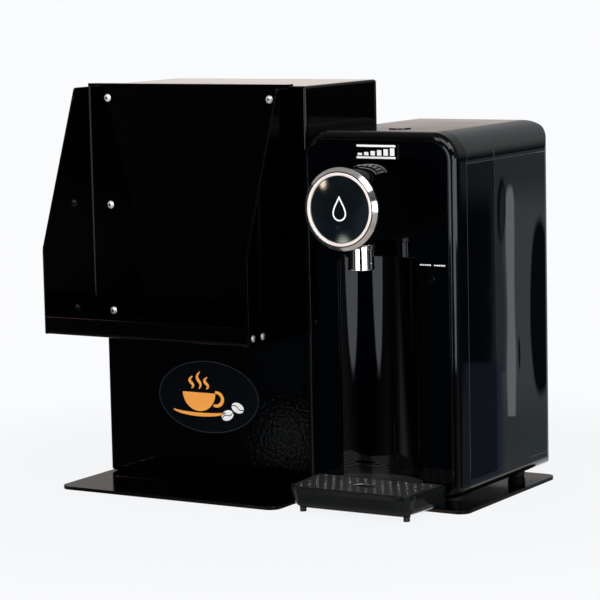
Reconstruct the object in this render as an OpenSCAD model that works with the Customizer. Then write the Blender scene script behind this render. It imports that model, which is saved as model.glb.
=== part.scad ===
// Counter-top hot drink station: a folded steel cabinet with an open front rack for filled cups,
// and beside it an instant hot-water unit with a selector knob, a cup niche, a drip tray and a rear tank.
// Millimetres. X runs across, the front faces -Y, Z is up from the surface that the base plate lies on.
// The origin is on the underside of the base plate, midway across it, in the plane of the cabinet's front.

/* [Base plate] */
// Thickness of the plate under both units
plate_t = 3; // [2:0.5:5]
// How far the plate reaches ahead of the cabinet's front
plate_front = 79; // [60:1:100]
// How far the plate's front is stepped back beside the cabinet, to leave room for the drip tray
plate_step = 54; // [50:1:58]
// Plate beyond the cabinet's outer side
plate_left_margin = 2; // [1:0.5:10]
// Plate beyond the hot-water unit's outer side
plate_right_margin = 8; // [4:0.5:16]
// How far the hot-water unit's back reaches beyond the plate's back edge
unit_overhang = 10.5; // [0:0.5:14]
// Radius of the plate's corners
plate_corner_r = 10; // [4:0.5:14]
// Space between the two units
unit_gap = 5; // [3:0.5:12]

/* [Cabinet] */
// Width of the cabinet
cab_w = 218; // [200:1:260]
// Depth of the cabinet, with its rear panel
cab_d = 126; // [100:1:150]
// Height of the cabinet above the plate
cab_h = 357; // [330:1:400]
// Thickness of the cabinet's sheet
cab_sheet = 1.5; // [1:0.1:2]
// Outside radius of the cabinet's bends
cab_bend_r = 2.5; // [2.2:0.1:4]
// Outside radius of the cabinet's bottom bends
cab_low_r = 5; // [3:0.1:6]
// Width of the inward flanges at the back and the bottom
cab_flange = 16; // [14:0.5:24]
// Height between the rows of screws on the rear panel
back_screw_pitch = 150; // [100:1:155]

/* [Cup rack] */
// Width of the rack over its wings
rack_w = 216; // [190:1:228]
// How far the rack stands out beyond the cabinet's outer side
rack_overhang = 12.5; // [5:0.5:14]
// Height of the rack, from its bottom edge to the cabinet's top
rack_h = 219.5; // [190:0.5:250]
// Thickness of the rack's sheet
rack_sheet = 1.5; // [1:0.1:2]
// Outside radius of the rack's bends
rack_bend_r = 3; // [2.2:0.1:4]
// Depth of the wings over the cup bin
wing_depth = 78.5; // [70:0.5:95]
// Depth of the wings at their top
wing_top_depth = 23.5; // [18:0.5:40]
// Height of the wings' knee above the rack's bottom edge
wing_knee_h = 77; // [50:1:110]
// Radius at the wings' knee
wing_knee_r = 9; // [4:0.5:14]
// Radius at the wings' top front corner
wing_corner_r = 3.5; // [1.5:0.5:6]
// How far the wings' tops lie below the cabinet's top
wing_top_drop = 1.5; // [1:0.5:6]
// Length of the hook that lies on the cabinet's top
hook_len = 10; // [6:0.5:16]
// Height of the front lip
lip_h = 16.3; // [14.5:0.1:24]
// Length of the tray's side tabs
tab_len = 36; // [32:0.5:50]
// Play between the tray and the wings
tray_play = 0.2; // [0.1:0.05:0.4]
// Length of the pressed ribs along the foot of the rack's back panel
rib_len = 4.5; // [3:0.5:12]
// Distance between the pressed ribs
rib_pitch = 28; // [16:0.5:40]

/* [Fasteners] */
// Radius of the rack screws' heads
rack_screw_head_r = 3.6; // [3:0.1:4.5]
// Radius of the rack screws' shanks
rack_screw_r = 2; // [1.5:0.1:2.2]
// Distance from the rack's sides to its screws
rack_screw_inset = 21.7; // [18:0.1:28]
// Distance from the cabinet's top to the upper rack screws
rack_screw_top = 11.7; // [8:0.1:20]
// Height between the rack screws
rack_screw_pitch = 97.4; // [60:0.1:100]
// Radius of the small screws' heads, on the tray and on the rear panel
small_screw_head_r = 3.2; // [2.6:0.1:3.6]
// Radius of the small screws' shanks
small_screw_r = 1.5; // [1.2:0.1:1.8]
// Radius of the base screws' shanks
base_screw_r = 2; // [1.5:0.1:2.5]
// Radius of the base screws' heads
base_screw_head_r = 3.8; // [3:0.1:4.5]
// Thickness of the base screws' heads
base_screw_head_h = 1.4; // [1:0.1:1.8]
// Play round every screw's shank
screw_play = 0.1; // [0.05:0.05:0.2]

/* [Hot-water unit] */
// Width of the unit
unit_w = 151; // [144:0.5:170]
// Depth of the unit, from its front panel to the back of its tank
unit_d = 184; // [176:0.5:200]
// Height of the unit above its feet
unit_h = 312; // [300:0.5:340]
// How far the unit's front stands ahead of the cabinet's front
unit_ahead = 19; // [16:0.5:22]
// Radius of the unit's shoulders
shoulder_r = 24.5; // [18:0.5:27]
// Radius of the unit's lower edges
toe_r = 10; // [8.5:0.5:11]
// Radius that rounds the front frame's edge over
edge_r = 7.2; // [6:0.2:8]
// Wall of the mouldings
wall = 3; // [2.5:0.1:3.5]
// Depth of the front frame
frame_d = 20.3; // [18:0.1:24]
// Depth from the unit's front to the seam of its tank
tank_seam = 71; // [69:0.5:76]
// Height of the base skirt
skirt_h = 13.3; // [11:0.1:16]
// Depth of the top cap and of the lid, below the unit's top
cap_h = 27.5; // [27.2:0.1:32]
// Width of the joint lines between mouldings that come apart
seam = 0.3; // [0.2:0.05:0.5]
// Height of the unit's feet
foot_h = 8; // [6:0.5:12]
// Radius of the unit's feet
foot_r = 8; // [6:0.5:10]
// Distance of the feet from the skirt's rounded edges, its front and its back
foot_inset = 6; // [1:0.5:12]

/* [Front panel and cup niche] */
// Thickness of the front panel
panel_t = 3; // [2.5:0.1:4]
// Width of the ledge that the panel sits on
panel_ledge = 3; // [2:0.1:4]
// Play round the panel in its frame
panel_play = 0.15; // [0.1:0.05:0.3]
// Half the width of the niche
niche_half = 40; // [36:0.5:42]
// Depth of the niche, from the unit's front to the middle of its curved wall
niche_depth = 21.5; // [16:0.5:30]
// Height of the niche's roof above the unit's underside
niche_top = 205.5; // [196:0.5:208]
// Wall of the niche liner
niche_wall = 2.5; // [2:0.1:3]
// Radius of the niche opening's upper corners
niche_corner_r = 6; // [3:0.5:12]
// Width of the liner's flange behind the panel
niche_flange = 6; // [4:0.5:8]
// Width of the raised plate above the knob
badge_w = 43; // [30:0.5:60]
// Height of the raised plate
badge_h = 14.3; // [10:0.1:18]
// Thickness of the raised plate
badge_t = 1; // [0.6:0.1:2]
// Distance of the raised plate's middle below the unit's top
badge_drop = 17; // [15.5:0.5:20]

/* [Knob and spout] */
// Height of the knob's axis above the unit's underside
knob_z = 251.5; // [250:0.5:253]
// How far the knob's front stands ahead of the panel
knob_reach = 65.5; // [62:0.5:72]
// Radius of the selector ring's front bead
knob_r = 31.2; // [30.5:0.1:32]
// Radius of the selector ring at the back of its bevel
ring_back_r = 35; // [34:0.1:36]
// Depth of the selector ring's bevel, from its front
ring_w = 4.7; // [4:0.1:6]
// Width of the bead round the button
bead_w = 2.9; // [2:0.1:3.4]
// Width and depth of the groove between the bead and the bevel
bead_groove = 0.5; // [0.3:0.1:0.8]
// Wall of the sleeve behind the bead
sleeve_wall = 1.8; // [1.4:0.1:2.2]
// Thickness of the selector ring's web
ring_web = 3; // [2:0.1:3.5]
// Radius of the spigot that the selector ring turns on
spigot_r = 20; // [17:0.5:21]
// Running play of the selector ring
ring_play = 0.05; // [0.02:0.01:0.1]
// How far the dark collar stands proud of the ring's back edge
collar_proud = 0.4; // [0.2:0.1:0.8]
// Width of the dark collar behind the selector ring
collar_w = 12.6; // [11:0.1:14]
// Radius of the drum that carries the knob
neck_r = 34.6; // [33.5:0.1:35]
// Wall of the drum
neck_wall = 6; // [5:0.1:7]
// Thickness of the button's rim
button_t = 2.4; // [2:0.1:3]
// How far the button's face is domed
button_dome = 1.2; // [0.8:0.1:3]
// Travel of the dispense button
button_travel = 2; // [1:0.1:2.2]
// Radius of the button's stem
stem_r = 3; // [2:0.1:4]
// Play round the buttons
button_play = 0.25; // [0.15:0.05:0.4]
// Radius of the nozzle
nozzle_r = 10.8; // [9:0.1:12]
// Height of the nozzle below its collar
nozzle_h = 17.5; // [14:0.5:18.5]
// How far the nozzle widens towards its mouth
nozzle_flare = 0.6; // [0:0.1:1]
// Height of the nozzle's collar
nozzle_collar_h = 4; // [3:0.5:6]
// How far the nozzle's collar stands proud of it
nozzle_collar_lip = 0.7; // [0.4:0.1:1.2]
// Radius of the nozzle's outlet
nozzle_bore_r = 5; // [3.5:0.1:6]
// How far the nozzle's axis is ahead of the panel
nozzle_reach = 29.5; // [28:0.5:30]

/* [Small buttons] */
// Radius of the top button
top_button_r = 9.7; // [8:0.1:12]
// How far behind the front the top button sits
top_button_y = 42; // [38:0.5:46]
// How far the top button stands proud
top_button_proud = 0.8; // [0.4:0.1:2]
// Travel of the top button
top_button_travel = 1.5; // [0.8:0.1:2]
// Radius of the reset button
reset_r = 2.6; // [2:0.1:3.2]
// Sideways place of the reset button
reset_x = 52; // [51:0.5:55]
// Height of the reset button above the unit's underside
reset_z = 187.5; // [150:0.5:205]
// How far the reset button stands proud
reset_proud = 0.8; // [0.5:0.1:1.2]

/* [Tank and lid] */
// Wall of the tank
tank_wall = 3; // [2.5:0.1:3.5]
// Radius of the tank's upright rear corners
tank_corner_r = 14; // [10:0.5:18]
// Radius over the lid's back edge
lid_back_r = 10; // [8:0.5:14]
// Distance of the lid's hinge axis from the back and from the lid's seam
hinge_r = 8; // [7.6:0.1:9]
// Radius of the lid's hinge pins
hinge_pin_r = 2; // [1.5:0.1:2.4]
// Running play of the hinge pins
hinge_play = 0.05; // [0.02:0.01:0.08]
// Radius of the tank's hinge lugs
lug_r = 4.2; // [3.6:0.1:4.4]
// Width of each hinge lug
lug_w = 6; // [4:0.5:8]
// Sideways place of the hinge lugs
lug_x = 45; // [30:0.5:50]
// Radius of the tank's outlet valve
valve_r = 9; // [7:0.1:10]
// Play between the valve and its socket
valve_play = 0.3; // [0.3:0.05:0.5]
// Sideways place of the valve
valve_x = -30; // [-36:0.5:-26]
// Distance of the valve behind the unit's front
valve_y = 100; // [96:0.5:120]

/* [Drip tray] */
// Width of the drip tray at its front
tray_front_w = 118; // [100:0.5:126]
// Width of the drip tray at its back
tray_back_w = 128; // [118:0.5:136]
// Depth of the drip tray
tray_d = 62; // [54:0.5:66]
// Height of the drip tray's rim above the counter
tray_top = 23.5; // [23.5:0.1:26]
// Height of the drip tray's feet
tray_foot_h = 4; // [3.2:0.1:6]
// Radius of the drip tray's feet
tray_foot_r = 2.8; // [2:0.1:5]
// Radius of the tray's front corners
tray_corner_r = 13; // [8:0.5:18]
// How far the tray's sides lean in above their round lower edge
tray_taper = 2; // [1:0.5:4]
// Radius of the tray's lower edge
tray_round = 9; // [6:0.5:10]
// Wall of the tray
tray_wall = 2.2; // [1.8:0.1:3]
// Gap between the tray and the front panel
tray_gap = 0.4; // [0.3:0.05:1]
// Thickness of the perforated grid
grid_t = 1.2; // [0.8:0.1:2]
// Width of the rim round the grid
grid_rim = 2; // [1.5:0.1:3]
// Play round the grid
grid_play = 0.3; // [0.3:0.05:0.5]
// Diameter of the grid's holes
grid_hole_d = 3.6; // [2.5:0.1:5]
// Distance between the grid's holes
grid_pitch = 8; // [7:0.1:12]
// Length of the finger slot
finger_slot_l = 21; // [16:0.5:28]
// Width of the finger slot
finger_slot_w = 11; // [8:0.5:14]
// Length of the tongue that slides under the unit
tongue_l = 22; // [14:0.5:30]
// Width of the tongue
tongue_w = 50; // [40:0.5:60]
// Thickness of the tongue
tongue_t = 3; // [2:0.1:3.5]

/* [Inside the unit] */
// Radius of the pump
pump_r = 13; // [10:0.5:13.5]
// Height of the pump
pump_h = 60; // [45:1:75]
// Radius of the flow heater
heater_r = 14; // [11:0.5:14.5]
// Height of the flow heater
heater_h = 170; // [140:1:178]
// Radius of the hoses
hose_r = 3; // [2.4:0.1:3.2]
// Thickness of the circuit boards
board_t = 1.6; // [1:0.1:2]
// Width of the control board
control_w = 90; // [60:1:110]
// Height of the control board
control_h = 38; // [30:1:42]
// Depth of the power board
power_w = 38; // [30:0.5:40]
// Height of the power board
power_h = 90; // [70:1:110]
// Height of the tall components on the boards
component_h = 6; // [4:0.5:7]
// Radius of the board pillars
pillar_r = 3; // [2:0.1:4]
// Radius of the rotary switch inside the knob's neck
switch_r = 11; // [8:0.5:12]
// Length of the rotary switch
switch_l = 10; // [6:0.5:12]
// Radius of the mains lead's gland
gland_r = 4.1; // [3.6:0.1:4.2]
// Length of the gland outside the skirt
gland_l = 6; // [4:0.5:10]

/* [Hidden] */
$fn = 64;
// Overshoot of a cut past the faces that it opens
over = 1;
// Steps of a rounded outline corner
arc_steps = 8;
// Steps and segments of the front frame's rounded edge
edge_steps = 6;
edge_fn = 48;
// Thickness of a slice of the rounded edge
slice = 0.01;

plate_w = plate_left_margin + cab_w + unit_gap + unit_w + plate_right_margin;
plate_left = -plate_w / 2;
plate_right = plate_w / 2;
cab_left = plate_left + plate_left_margin;
cab_right = cab_left + cab_w;
cab_mid = cab_left + cab_w / 2;
cab_top = plate_t + cab_h;
unit_left = cab_right + unit_gap;
unit_mid = unit_left + unit_w / 2;
unit_front = -unit_ahead;
unit_bottom = plate_t + foot_h;
plate_back = unit_front + unit_d - unit_overhang;
notch_margin = 3;
sheet_corner_r = 1.5;

rack_left = cab_left - rack_overhang;
rack_right = rack_left + rack_w;
rack_mid = rack_left + rack_w / 2;
rack_bottom = cab_top - rack_h;
wing_top = cab_top - wing_top_drop;
rack_screw_xs = [rack_left + rack_screw_inset, rack_right - rack_screw_inset];
rack_screw_zs = [for (i = [0:2]) cab_top - rack_screw_top - i * rack_screw_pitch];
rack_screw_head_h = 2.2;
rack_screw_bite = 5;
rack_screw_l = rack_sheet + cab_sheet + rack_screw_bite;
small_screw_head_h = 1.9;
small_screw_l = 6;
tab_screw_edge = 7;
tab_screw_pitch = 15.6;
tab_screw_ys = [for (i = [0:1]) -wing_depth + tab_screw_edge + i * tab_screw_pitch];
tab_screw_rise = 6.5;
tab_screw_z = rack_bottom + tab_screw_rise;
tab_h = 14;
tab_corner_r = 4;
lip_edge_r = 0.5;
rib_r = 0.8;
rib_rise = 6.8;
rib_count = floor((rack_w - rib_pitch) / rib_pitch);
rib_xs = [for (i = [0:rib_count]) rack_mid + (i - rib_count / 2) * rib_pitch];
back_screw_xs = [cab_left + cab_flange / 2, cab_right - cab_flange / 2];
back_screw_zs = [for (i = [-1:1]) plate_t + cab_h / 2 + i * back_screw_pitch];
base_screw_edge = 9;
base_screw_front = 24;
base_screw_back = 30;
base_screw_xs = [cab_left + base_screw_edge, cab_right - base_screw_edge];
base_screw_ys = [base_screw_front, cab_d - base_screw_back];
nut_h = 3.2;
nut_r = 4;

frame_inset = edge_r + panel_play;
niche_sag = niche_depth - panel_t;
niche_arc_r = (niche_half * niche_half + niche_sag * niche_sag) / (2 * niche_sag);
niche_axis_y = niche_depth - niche_arc_r;
badge_z = unit_h - badge_drop;
skirt_top = skirt_h;
cap_bottom = unit_h - cap_h;
ring_back = -knob_reach + ring_w;
collar_back = ring_back + collar_w;
collar_r = ring_back_r + collar_proud;
pocket_r = knob_r - bead_w;
button_r = pocket_r - button_play;
button_recess = 0.6;
button_back = -knob_reach + button_recess + button_dome + button_t;
ring_gap = 0.3;
stem_gap = 0.3;
web_front = button_back + button_travel + ring_gap;
web_back = web_front + ring_web;
sleeve_r = pocket_r + sleeve_wall;
cup_r = sleeve_r + ring_gap;
cup_floor = web_back + ring_gap;
neck_bore_r = neck_r - neck_wall;
neck_front_wall = 6.5;
neck_bore_end = cup_floor + neck_front_wall;
hose_hole_lip = 2;
hose_hole_r = neck_bore_r - hose_hole_lip;
hose_room = 3.5;
hose_drop = neck_bore_r - hose_r - hose_room;
hose_z = knob_z - hose_drop;
nozzle_wall = 3.3;
nozzle_spigot_r = nozzle_r - nozzle_wall;
nozzle_spigot_h = 3;
// How far the nozzle's collar is let into the neck
nozzle_sink = 2;
nozzle_seat = knob_z - neck_r + nozzle_sink;
tank_front = tank_seam + seam;
tank_bottom = skirt_top + seam;
hinge_y = unit_d - hinge_r;
hinge_z = cap_bottom + hinge_r;
socket_floor = wall;
socket_wall = 2.8;
socket_bore_r = valve_r + valve_play;
socket_port_r = 2;
seal_w = 2.2;
seal_h = 3;
// Step under the seal
seal_rest = 0.6;
tray_rim_z = tray_top - grid_t;
niche_floor = tray_rim_z - unit_bottom;
tray_back = unit_front - tray_gap;
tray_front = tray_back - tray_d;
tray_floor_z = tray_foot_h;
tray_rim_skirt = 3;
// Width and height of the ledge under the grid
grid_ledge = 2;
grid_edge = 4;
tray_foot_side = 8.5;
tray_foot_front = 13.4;
tray_foot_xs = [for (s = [-1, 1]) unit_mid + s * (tray_front_w / 2 - tray_foot_side)];
tray_foot_y = tray_front + tray_foot_front;
// Steps of the tray's round lower edge
round_steps = 6;
tongue_z = unit_bottom - seam - tongue_t;
heater_y = 51;
heater_x = unit_w / 2 - toe_r - heater_r;
pump_x = -(unit_w / 2 - toe_r - pump_r);
gland_shoulder = 1.6;
gland_neck_r = gland_r - gland_shoulder;
gland_z = (skirt_top + wall) / 2;
pump_y = 42;
port_l = 4;
port_rise = 4;
port_z = wall + port_rise;
hose_clear = 4;
cross_y = tank_seam - wall - hose_r - hose_clear;
pump_port_h = 5;
heater_port_h = 6;
cross_rise = 12;
cross_z = wall + pump_h + cross_rise;
board_stand = 4;
pillar_edge = pillar_r + 1;
control_rise = 20;
power_rise = 20;
power_clear = 8;
power_y = frame_d + power_clear;

// Unit vector along v
function unit(v) = v / norm(v);

// Points of one outline corner: b is [x, y, radius] between its neighbours a and c
function corner(a, b, c) =
    b[2] == 0 ? [[b[0], b[1]]] :
    let (
        p = [b[0], b[1]],
        u = unit([a[0], a[1]] - p),
        v = unit([c[0], c[1]] - p),
        half = acos(u * v) / 2,
        mid = p + unit(u + v) * b[2] / sin(half),
        from = p + u * b[2] / tan(half) - mid,
        to = p + v * b[2] / tan(half) - mid,
        start = atan2(from[1], from[0]),
        turn = atan2(to[1], to[0]) - start,
        sweep = turn > 180 ? turn - 360 : turn < -180 ? turn + 360 : turn
    )
    [for (k = [0:arc_steps])
        let (angle = start + sweep * k / arc_steps)
        mid + b[2] * [cos(angle), sin(angle)]];

// Points of a closed outline whose corners are given as [x, y, radius]
function rounded(pts) =
    let (n = len(pts))
    [for (i = [0:n - 1]) each corner(pts[(i + n - 1) % n], pts[i], pts[(i + 1) % n])];

// A flat shape drawn in X and Z, carried along Y from y0
module along_y(y0, len) {
    translate([0, y0 + len, 0]) rotate([90, 0, 0]) linear_extrude(height = len) children();
}

// A flat shape drawn in Y and Z, carried along X from x0
module along_x(x0, len) {
    translate([x0, 0, 0]) rotate([90, 0, 90]) linear_extrude(height = len) children();
}

// A round bar along X, along Y or along Z, from a start point
module bar_x(p, r, len) {
    translate(p) rotate([0, 90, 0]) cylinder(r = r, h = len);
}

module bar_y(p, r, len) {
    translate(p) rotate([-90, 0, 0]) cylinder(r = r, h = len);
}

module bar_z(p, r, len) {
    translate(p) cylinder(r = r, h = len);
}

// A shape turned about the Y axis through the knob: x of the outline is the radius, y runs to the back
module turned_about_knob() {
    translate([0, 0, knob_z]) rotate([-90, 0, 0]) rotate_extrude() children();
}

// Places a piece of the hot-water unit, drawn from the unit's front, middle and underside
module at_unit() {
    translate([unit_mid, unit_front, unit_bottom]) children();
}

// Front outline of the hot-water unit, drawn in by an inset all round
module unit_outline(inset) {
    w = unit_w - 2 * inset;
    top_r = shoulder_r - inset;
    low_r = toe_r - inset;
    high = unit_h - inset;
    translate([-w / 2, inset + low_r]) square([w, high - inset - top_r - low_r]);
    translate([-w / 2 + top_r, high - top_r]) square([w - 2 * top_r, top_r]);
    translate([-w / 2 + low_r, inset]) square([w - 2 * low_r, low_r]);
    for (s = [-1, 1]) {
        translate([s * (w / 2 - top_r), high - top_r]) circle(r = top_r);
        translate([s * (w / 2 - low_r), inset + low_r]) circle(r = low_r);
    }
}

// Plan of the unit behind a depth y0, with round rear corners, drawn in by an inset
module unit_plan(y0, inset) {
    half = unit_w / 2 - inset;
    r = tank_corner_r - inset;
    back = unit_d - inset;
    translate([-half, y0]) square([2 * half, back - r - y0]);
    translate([-half + r, y0]) square([2 * (half - r), back - y0]);
    for (s = [-1, 1]) {
        translate([s * (half - r), back - r]) circle(r = r);
    }
}

// Button-head screw with a hexagon socket, its head above z = 0 and its shank below
module button_screw(head_r, head_h, shank_r, shank_l) {
    dome_r = (head_r * head_r + head_h * head_h) / (2 * head_h);
    socket_r = 0.42 * head_r;
    socket_z = 0.45 * head_h;
    difference() {
        intersection() {
            translate([0, 0, head_h - dome_r]) sphere(r = dome_r);
            cylinder(r = head_r, h = head_h);
        }
        translate([0, 0, socket_z]) cylinder(r = socket_r, h = head_h, $fn = 6);
    }
    translate([0, 0, -shank_l]) cylinder(r = shank_r, h = shank_l + socket_z / 2);
}

// Plan of the drip tray, drawn in by an inset
module tray_plan(inset) {
    f = tray_front_w / 2 - inset;
    b = tray_back_w / 2 - inset;
    r = max(tray_corner_r - inset, 1);
    back_r = 3;
    polygon(rounded([
        [-f, tray_front + inset, r], [f, tray_front + inset, r],
        [b, tray_back - inset, back_r], [-b, tray_back - inset, back_r]
    ]));
}

// A flat slab of the drip tray's plan, at a height z
module tray_slab(z, h, inset) {
    translate([unit_mid, 0, z]) linear_extrude(height = h) tray_plan(inset);
}

// Bowl of the drip tray: from a top slab down to a lower edge of radius r about the tray's own edge centre
module tray_bowl(top_z, top_h, top_inset, r) {
    hull() {
        tray_slab(top_z, top_h, top_inset);
        for (i = [0:round_steps]) {
            a = 90 * i / round_steps;
            tray_slab(tray_floor_z + tray_round - r * cos(a), slice, tray_taper + tray_round - r * sin(a));
        }
    }
}

// L-shaped steel plate under both units
module base_plate() {
    step_x = unit_left + notch_margin;
    low_front = -plate_front;
    step_front = -plate_front + plate_step;
    color([0.05, 0.05, 0.055])
    difference() {
        linear_extrude(height = plate_t)
        polygon(rounded([
            [plate_left, low_front, plate_corner_r], [step_x, low_front, plate_corner_r],
            [step_x, step_front, plate_corner_r], [plate_right, step_front, plate_corner_r],
            [plate_right, plate_back, plate_corner_r], [plate_left, plate_back, plate_corner_r]
        ]));
        for (x = base_screw_xs, y = base_screw_ys) {
            bar_z([x, y, -over], base_screw_r + screw_play, plate_t + 2 * over);
            bar_z([x, y, -over], base_screw_head_r + screw_play, base_screw_head_h + screw_play + over);
        }
    }
}

// Flush screws that hold the cabinet down
module base_screws() {
    color([0.6, 0.6, 0.62])
    for (x = base_screw_xs, y = base_screw_ys) {
        bar_z([x, y, screw_play], base_screw_head_r, base_screw_head_h);
        bar_z([x, y, screw_play], base_screw_r, plate_t + cab_sheet + nut_h + over);
    }
}

// Nuts inside the cabinet, on its bottom flanges
module base_nuts() {
    color([0.6, 0.6, 0.62])
    for (x = base_screw_xs, y = base_screw_ys) {
        difference() {
            translate([x, y, plate_t + cab_sheet]) cylinder(r = nut_r, h = nut_h, $fn = 6);
            bar_z([x, y, plate_t], base_screw_r + screw_play, cab_sheet + nut_h + over);
        }
    }
}

// Plan of the cabinet's folded wrap, drawn in by an inset
module cabinet_plan(inset) {
    r = cab_bend_r - inset;
    back = cab_d - cab_sheet - inset;
    polygon(rounded([
        [cab_left + inset, inset, r], [cab_right - inset, inset, r],
        [cab_right - inset, back, r], [cab_left + inset, back, r]
    ]));
}

// Block of the cabinet's folded wrap, drawn in by an inset, with its bends at the top and the bottom
module cabinet_block(inset) {
    low = plate_t + inset;
    high = cab_top - inset;
    low_r = cab_low_r - inset;
    high_r = cab_bend_r - inset;
    left = cab_left + inset;
    right = cab_right - inset;
    intersection() {
        linear_extrude(height = cab_top + over) cabinet_plan(inset);
        along_y(-over, cab_d + 2 * over)
            polygon(rounded([
                [left, low, low_r], [right, low, low_r], [right, high, high_r], [left, high, high_r]
            ]));
        along_x(cab_left - over, cab_w + 2 * over)
            polygon(rounded([[inset, low, low_r], [cab_d, low, 0], [cab_d, high, 0], [inset, high, high_r]]));
    }
}

// Folded wrap of the cabinet: front, sides and top, with flanges round the back and the bottom
module cabinet_shell() {
    color([0.04, 0.04, 0.045])
    difference() {
        cabinet_block(0);
        cabinet_block(cab_sheet);
        translate([cab_left + cab_flange, cab_d / 2, plate_t + cab_flange])
            cube([cab_w - 2 * cab_flange, cab_d, cab_h - 2 * cab_flange]);
        translate([cab_left + cab_flange, cab_flange, plate_t - over])
            cube([cab_w - 2 * cab_flange, cab_d - 2 * cab_flange, cab_sheet + 2 * over]);
        for (x = base_screw_xs, y = base_screw_ys)
            bar_z([x, y, plate_t - over], base_screw_r + screw_play, cab_sheet + 2 * over);
        for (x = rack_screw_xs, z = rack_screw_zs)
            bar_y([x, -over, z], rack_screw_r + screw_play, cab_sheet + 2 * over);
        for (x = back_screw_xs, z = back_screw_zs)
            bar_y([x, cab_d - 2 * cab_sheet - over, z], small_screw_r + screw_play, cab_sheet + 2 * over);
    }
}

// Flat rear panel of the cabinet
module cabinet_back() {
    margin = 0.5;
    r = 2;
    left = cab_left + margin;
    right = cab_right - margin;
    low = plate_t + margin;
    high = cab_top - margin;
    color([0.045, 0.045, 0.05])
    difference() {
        along_y(cab_d - cab_sheet, cab_sheet)
            polygon(rounded([[left, low, r], [right, low, r], [right, high, r], [left, high, r]]));
        for (x = back_screw_xs, z = back_screw_zs)
            bar_y([x, cab_d - 2 * cab_sheet, z], small_screw_r + screw_play, 2 * cab_sheet + over);
    }
}

// Screws of the rear panel
module cabinet_screws() {
    color([0.6, 0.6, 0.62])
    for (x = back_screw_xs, z = back_screw_zs) {
        translate([x, cab_d, z]) rotate([-90, 0, 0])
            button_screw(small_screw_head_r, small_screw_head_h, small_screw_r, small_screw_l);
    }
}

// Side outline of the rack: sloping wings over the bin, and the back panel up to the hook
module rack_side_outline() {
    polygon(rounded([
        [-wing_depth, rack_bottom, sheet_corner_r], [-wing_depth, rack_bottom + wing_knee_h, wing_knee_r],
        [-wing_top_depth, wing_top, wing_corner_r], [-rack_sheet, wing_top, 0],
        [-rack_sheet, cab_top + rack_sheet, 0], [0, cab_top + rack_sheet, 0], [0, rack_bottom, 0]
    ]));
}

// Folded rack: back panel with a row of ribs on the cabinet's front, two wings, and a hook over its top
module rack_bracket() {
    inner_r = rack_bend_r - rack_sheet;
    color([0.03, 0.03, 0.035])
    difference() {
        union() {
            intersection() {
                along_x(rack_left, rack_w) rack_side_outline();
                difference() {
                    linear_extrude(height = 2 * cab_top)
                    polygon(rounded([
                        [rack_left, -wing_depth, 0], [rack_right, -wing_depth, 0],
                        [rack_right, 0, rack_bend_r], [rack_left, 0, rack_bend_r]
                    ]));
                    translate([0, 0, -over]) linear_extrude(height = 2 * cab_top + 2 * over)
                    polygon(rounded([
                        [rack_left + rack_sheet, -wing_depth - over, 0],
                        [rack_right - rack_sheet, -wing_depth - over, 0],
                        [rack_right - rack_sheet, -rack_sheet, inner_r],
                        [rack_left + rack_sheet, -rack_sheet, inner_r]
                    ]));
                }
            }
            translate([rack_left + rack_bend_r, -rack_sheet, cab_top])
                cube([rack_w - 2 * rack_bend_r, hook_len, rack_sheet]);
            for (x = rib_xs)
                bar_x([x - rib_len / 2, -rack_sheet, rack_bottom + rib_rise], rib_r, rib_len);
        }
        for (x = rack_screw_xs, z = rack_screw_zs)
            bar_y([x, -rack_sheet - over, z], rack_screw_r + screw_play, rack_sheet + 2 * over);
        for (y = tab_screw_ys)
            bar_x([rack_left - over, y, tab_screw_z], small_screw_r + screw_play, rack_w + 2 * over);
    }
}

// Folded tray of the rack: floor, front lip and side tabs inside the wings
module rack_tray() {
    left = rack_left + rack_sheet + tray_play;
    right = rack_right - rack_sheet - tray_play;
    inner_r = rack_bend_r - rack_sheet;
    front = -wing_depth + tray_play;
    back = -rack_bend_r - tray_play;
    lip_back = front + rack_sheet;
    lip_top = rack_bottom + lip_h;
    floor_top = rack_bottom + rack_sheet;
    color([0.03, 0.03, 0.035])
    difference() {
        union() {
            along_x(left, right - left)
            polygon(rounded([
                [front, rack_bottom, rack_bend_r], [back, rack_bottom, 0], [back, floor_top, 0],
                [lip_back, floor_top, inner_r], [lip_back, lip_top, lip_edge_r], [front, lip_top, lip_edge_r]
            ]));
            for (x = [left, right - rack_sheet])
                along_x(x, rack_sheet)
                polygon(rounded([
                    [lip_back, rack_bottom + rack_sheet / 2, 0],
                    [front + tab_len, rack_bottom + rack_sheet / 2, 0],
                    [front + tab_len, rack_bottom + tab_h, tab_corner_r], [lip_back, rack_bottom + tab_h, 0]
                ]));
        }
        for (y = tab_screw_ys)
            bar_x([rack_left, y, tab_screw_z], small_screw_r + screw_play, rack_w);
    }
}

// Screws that hold the rack on the cabinet
module rack_screws() {
    color([0.72, 0.72, 0.74])
    for (x = rack_screw_xs, z = rack_screw_zs) {
        translate([x, -rack_sheet, z]) rotate([90, 0, 0])
            button_screw(rack_screw_head_r, rack_screw_head_h, rack_screw_r, rack_screw_l);
    }
}

// Screws that hold the tray between the wings
module tray_screws() {
    color([0.5, 0.5, 0.52])
    for (y = tab_screw_ys) {
        translate([rack_left, y, tab_screw_z]) rotate([0, -90, 0])
            button_screw(small_screw_head_r, small_screw_head_h, small_screw_r, small_screw_l);
        translate([rack_right, y, tab_screw_z]) rotate([0, 90, 0])
            button_screw(small_screw_head_r, small_screw_head_h, small_screw_r, small_screw_l);
    }
}

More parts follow.
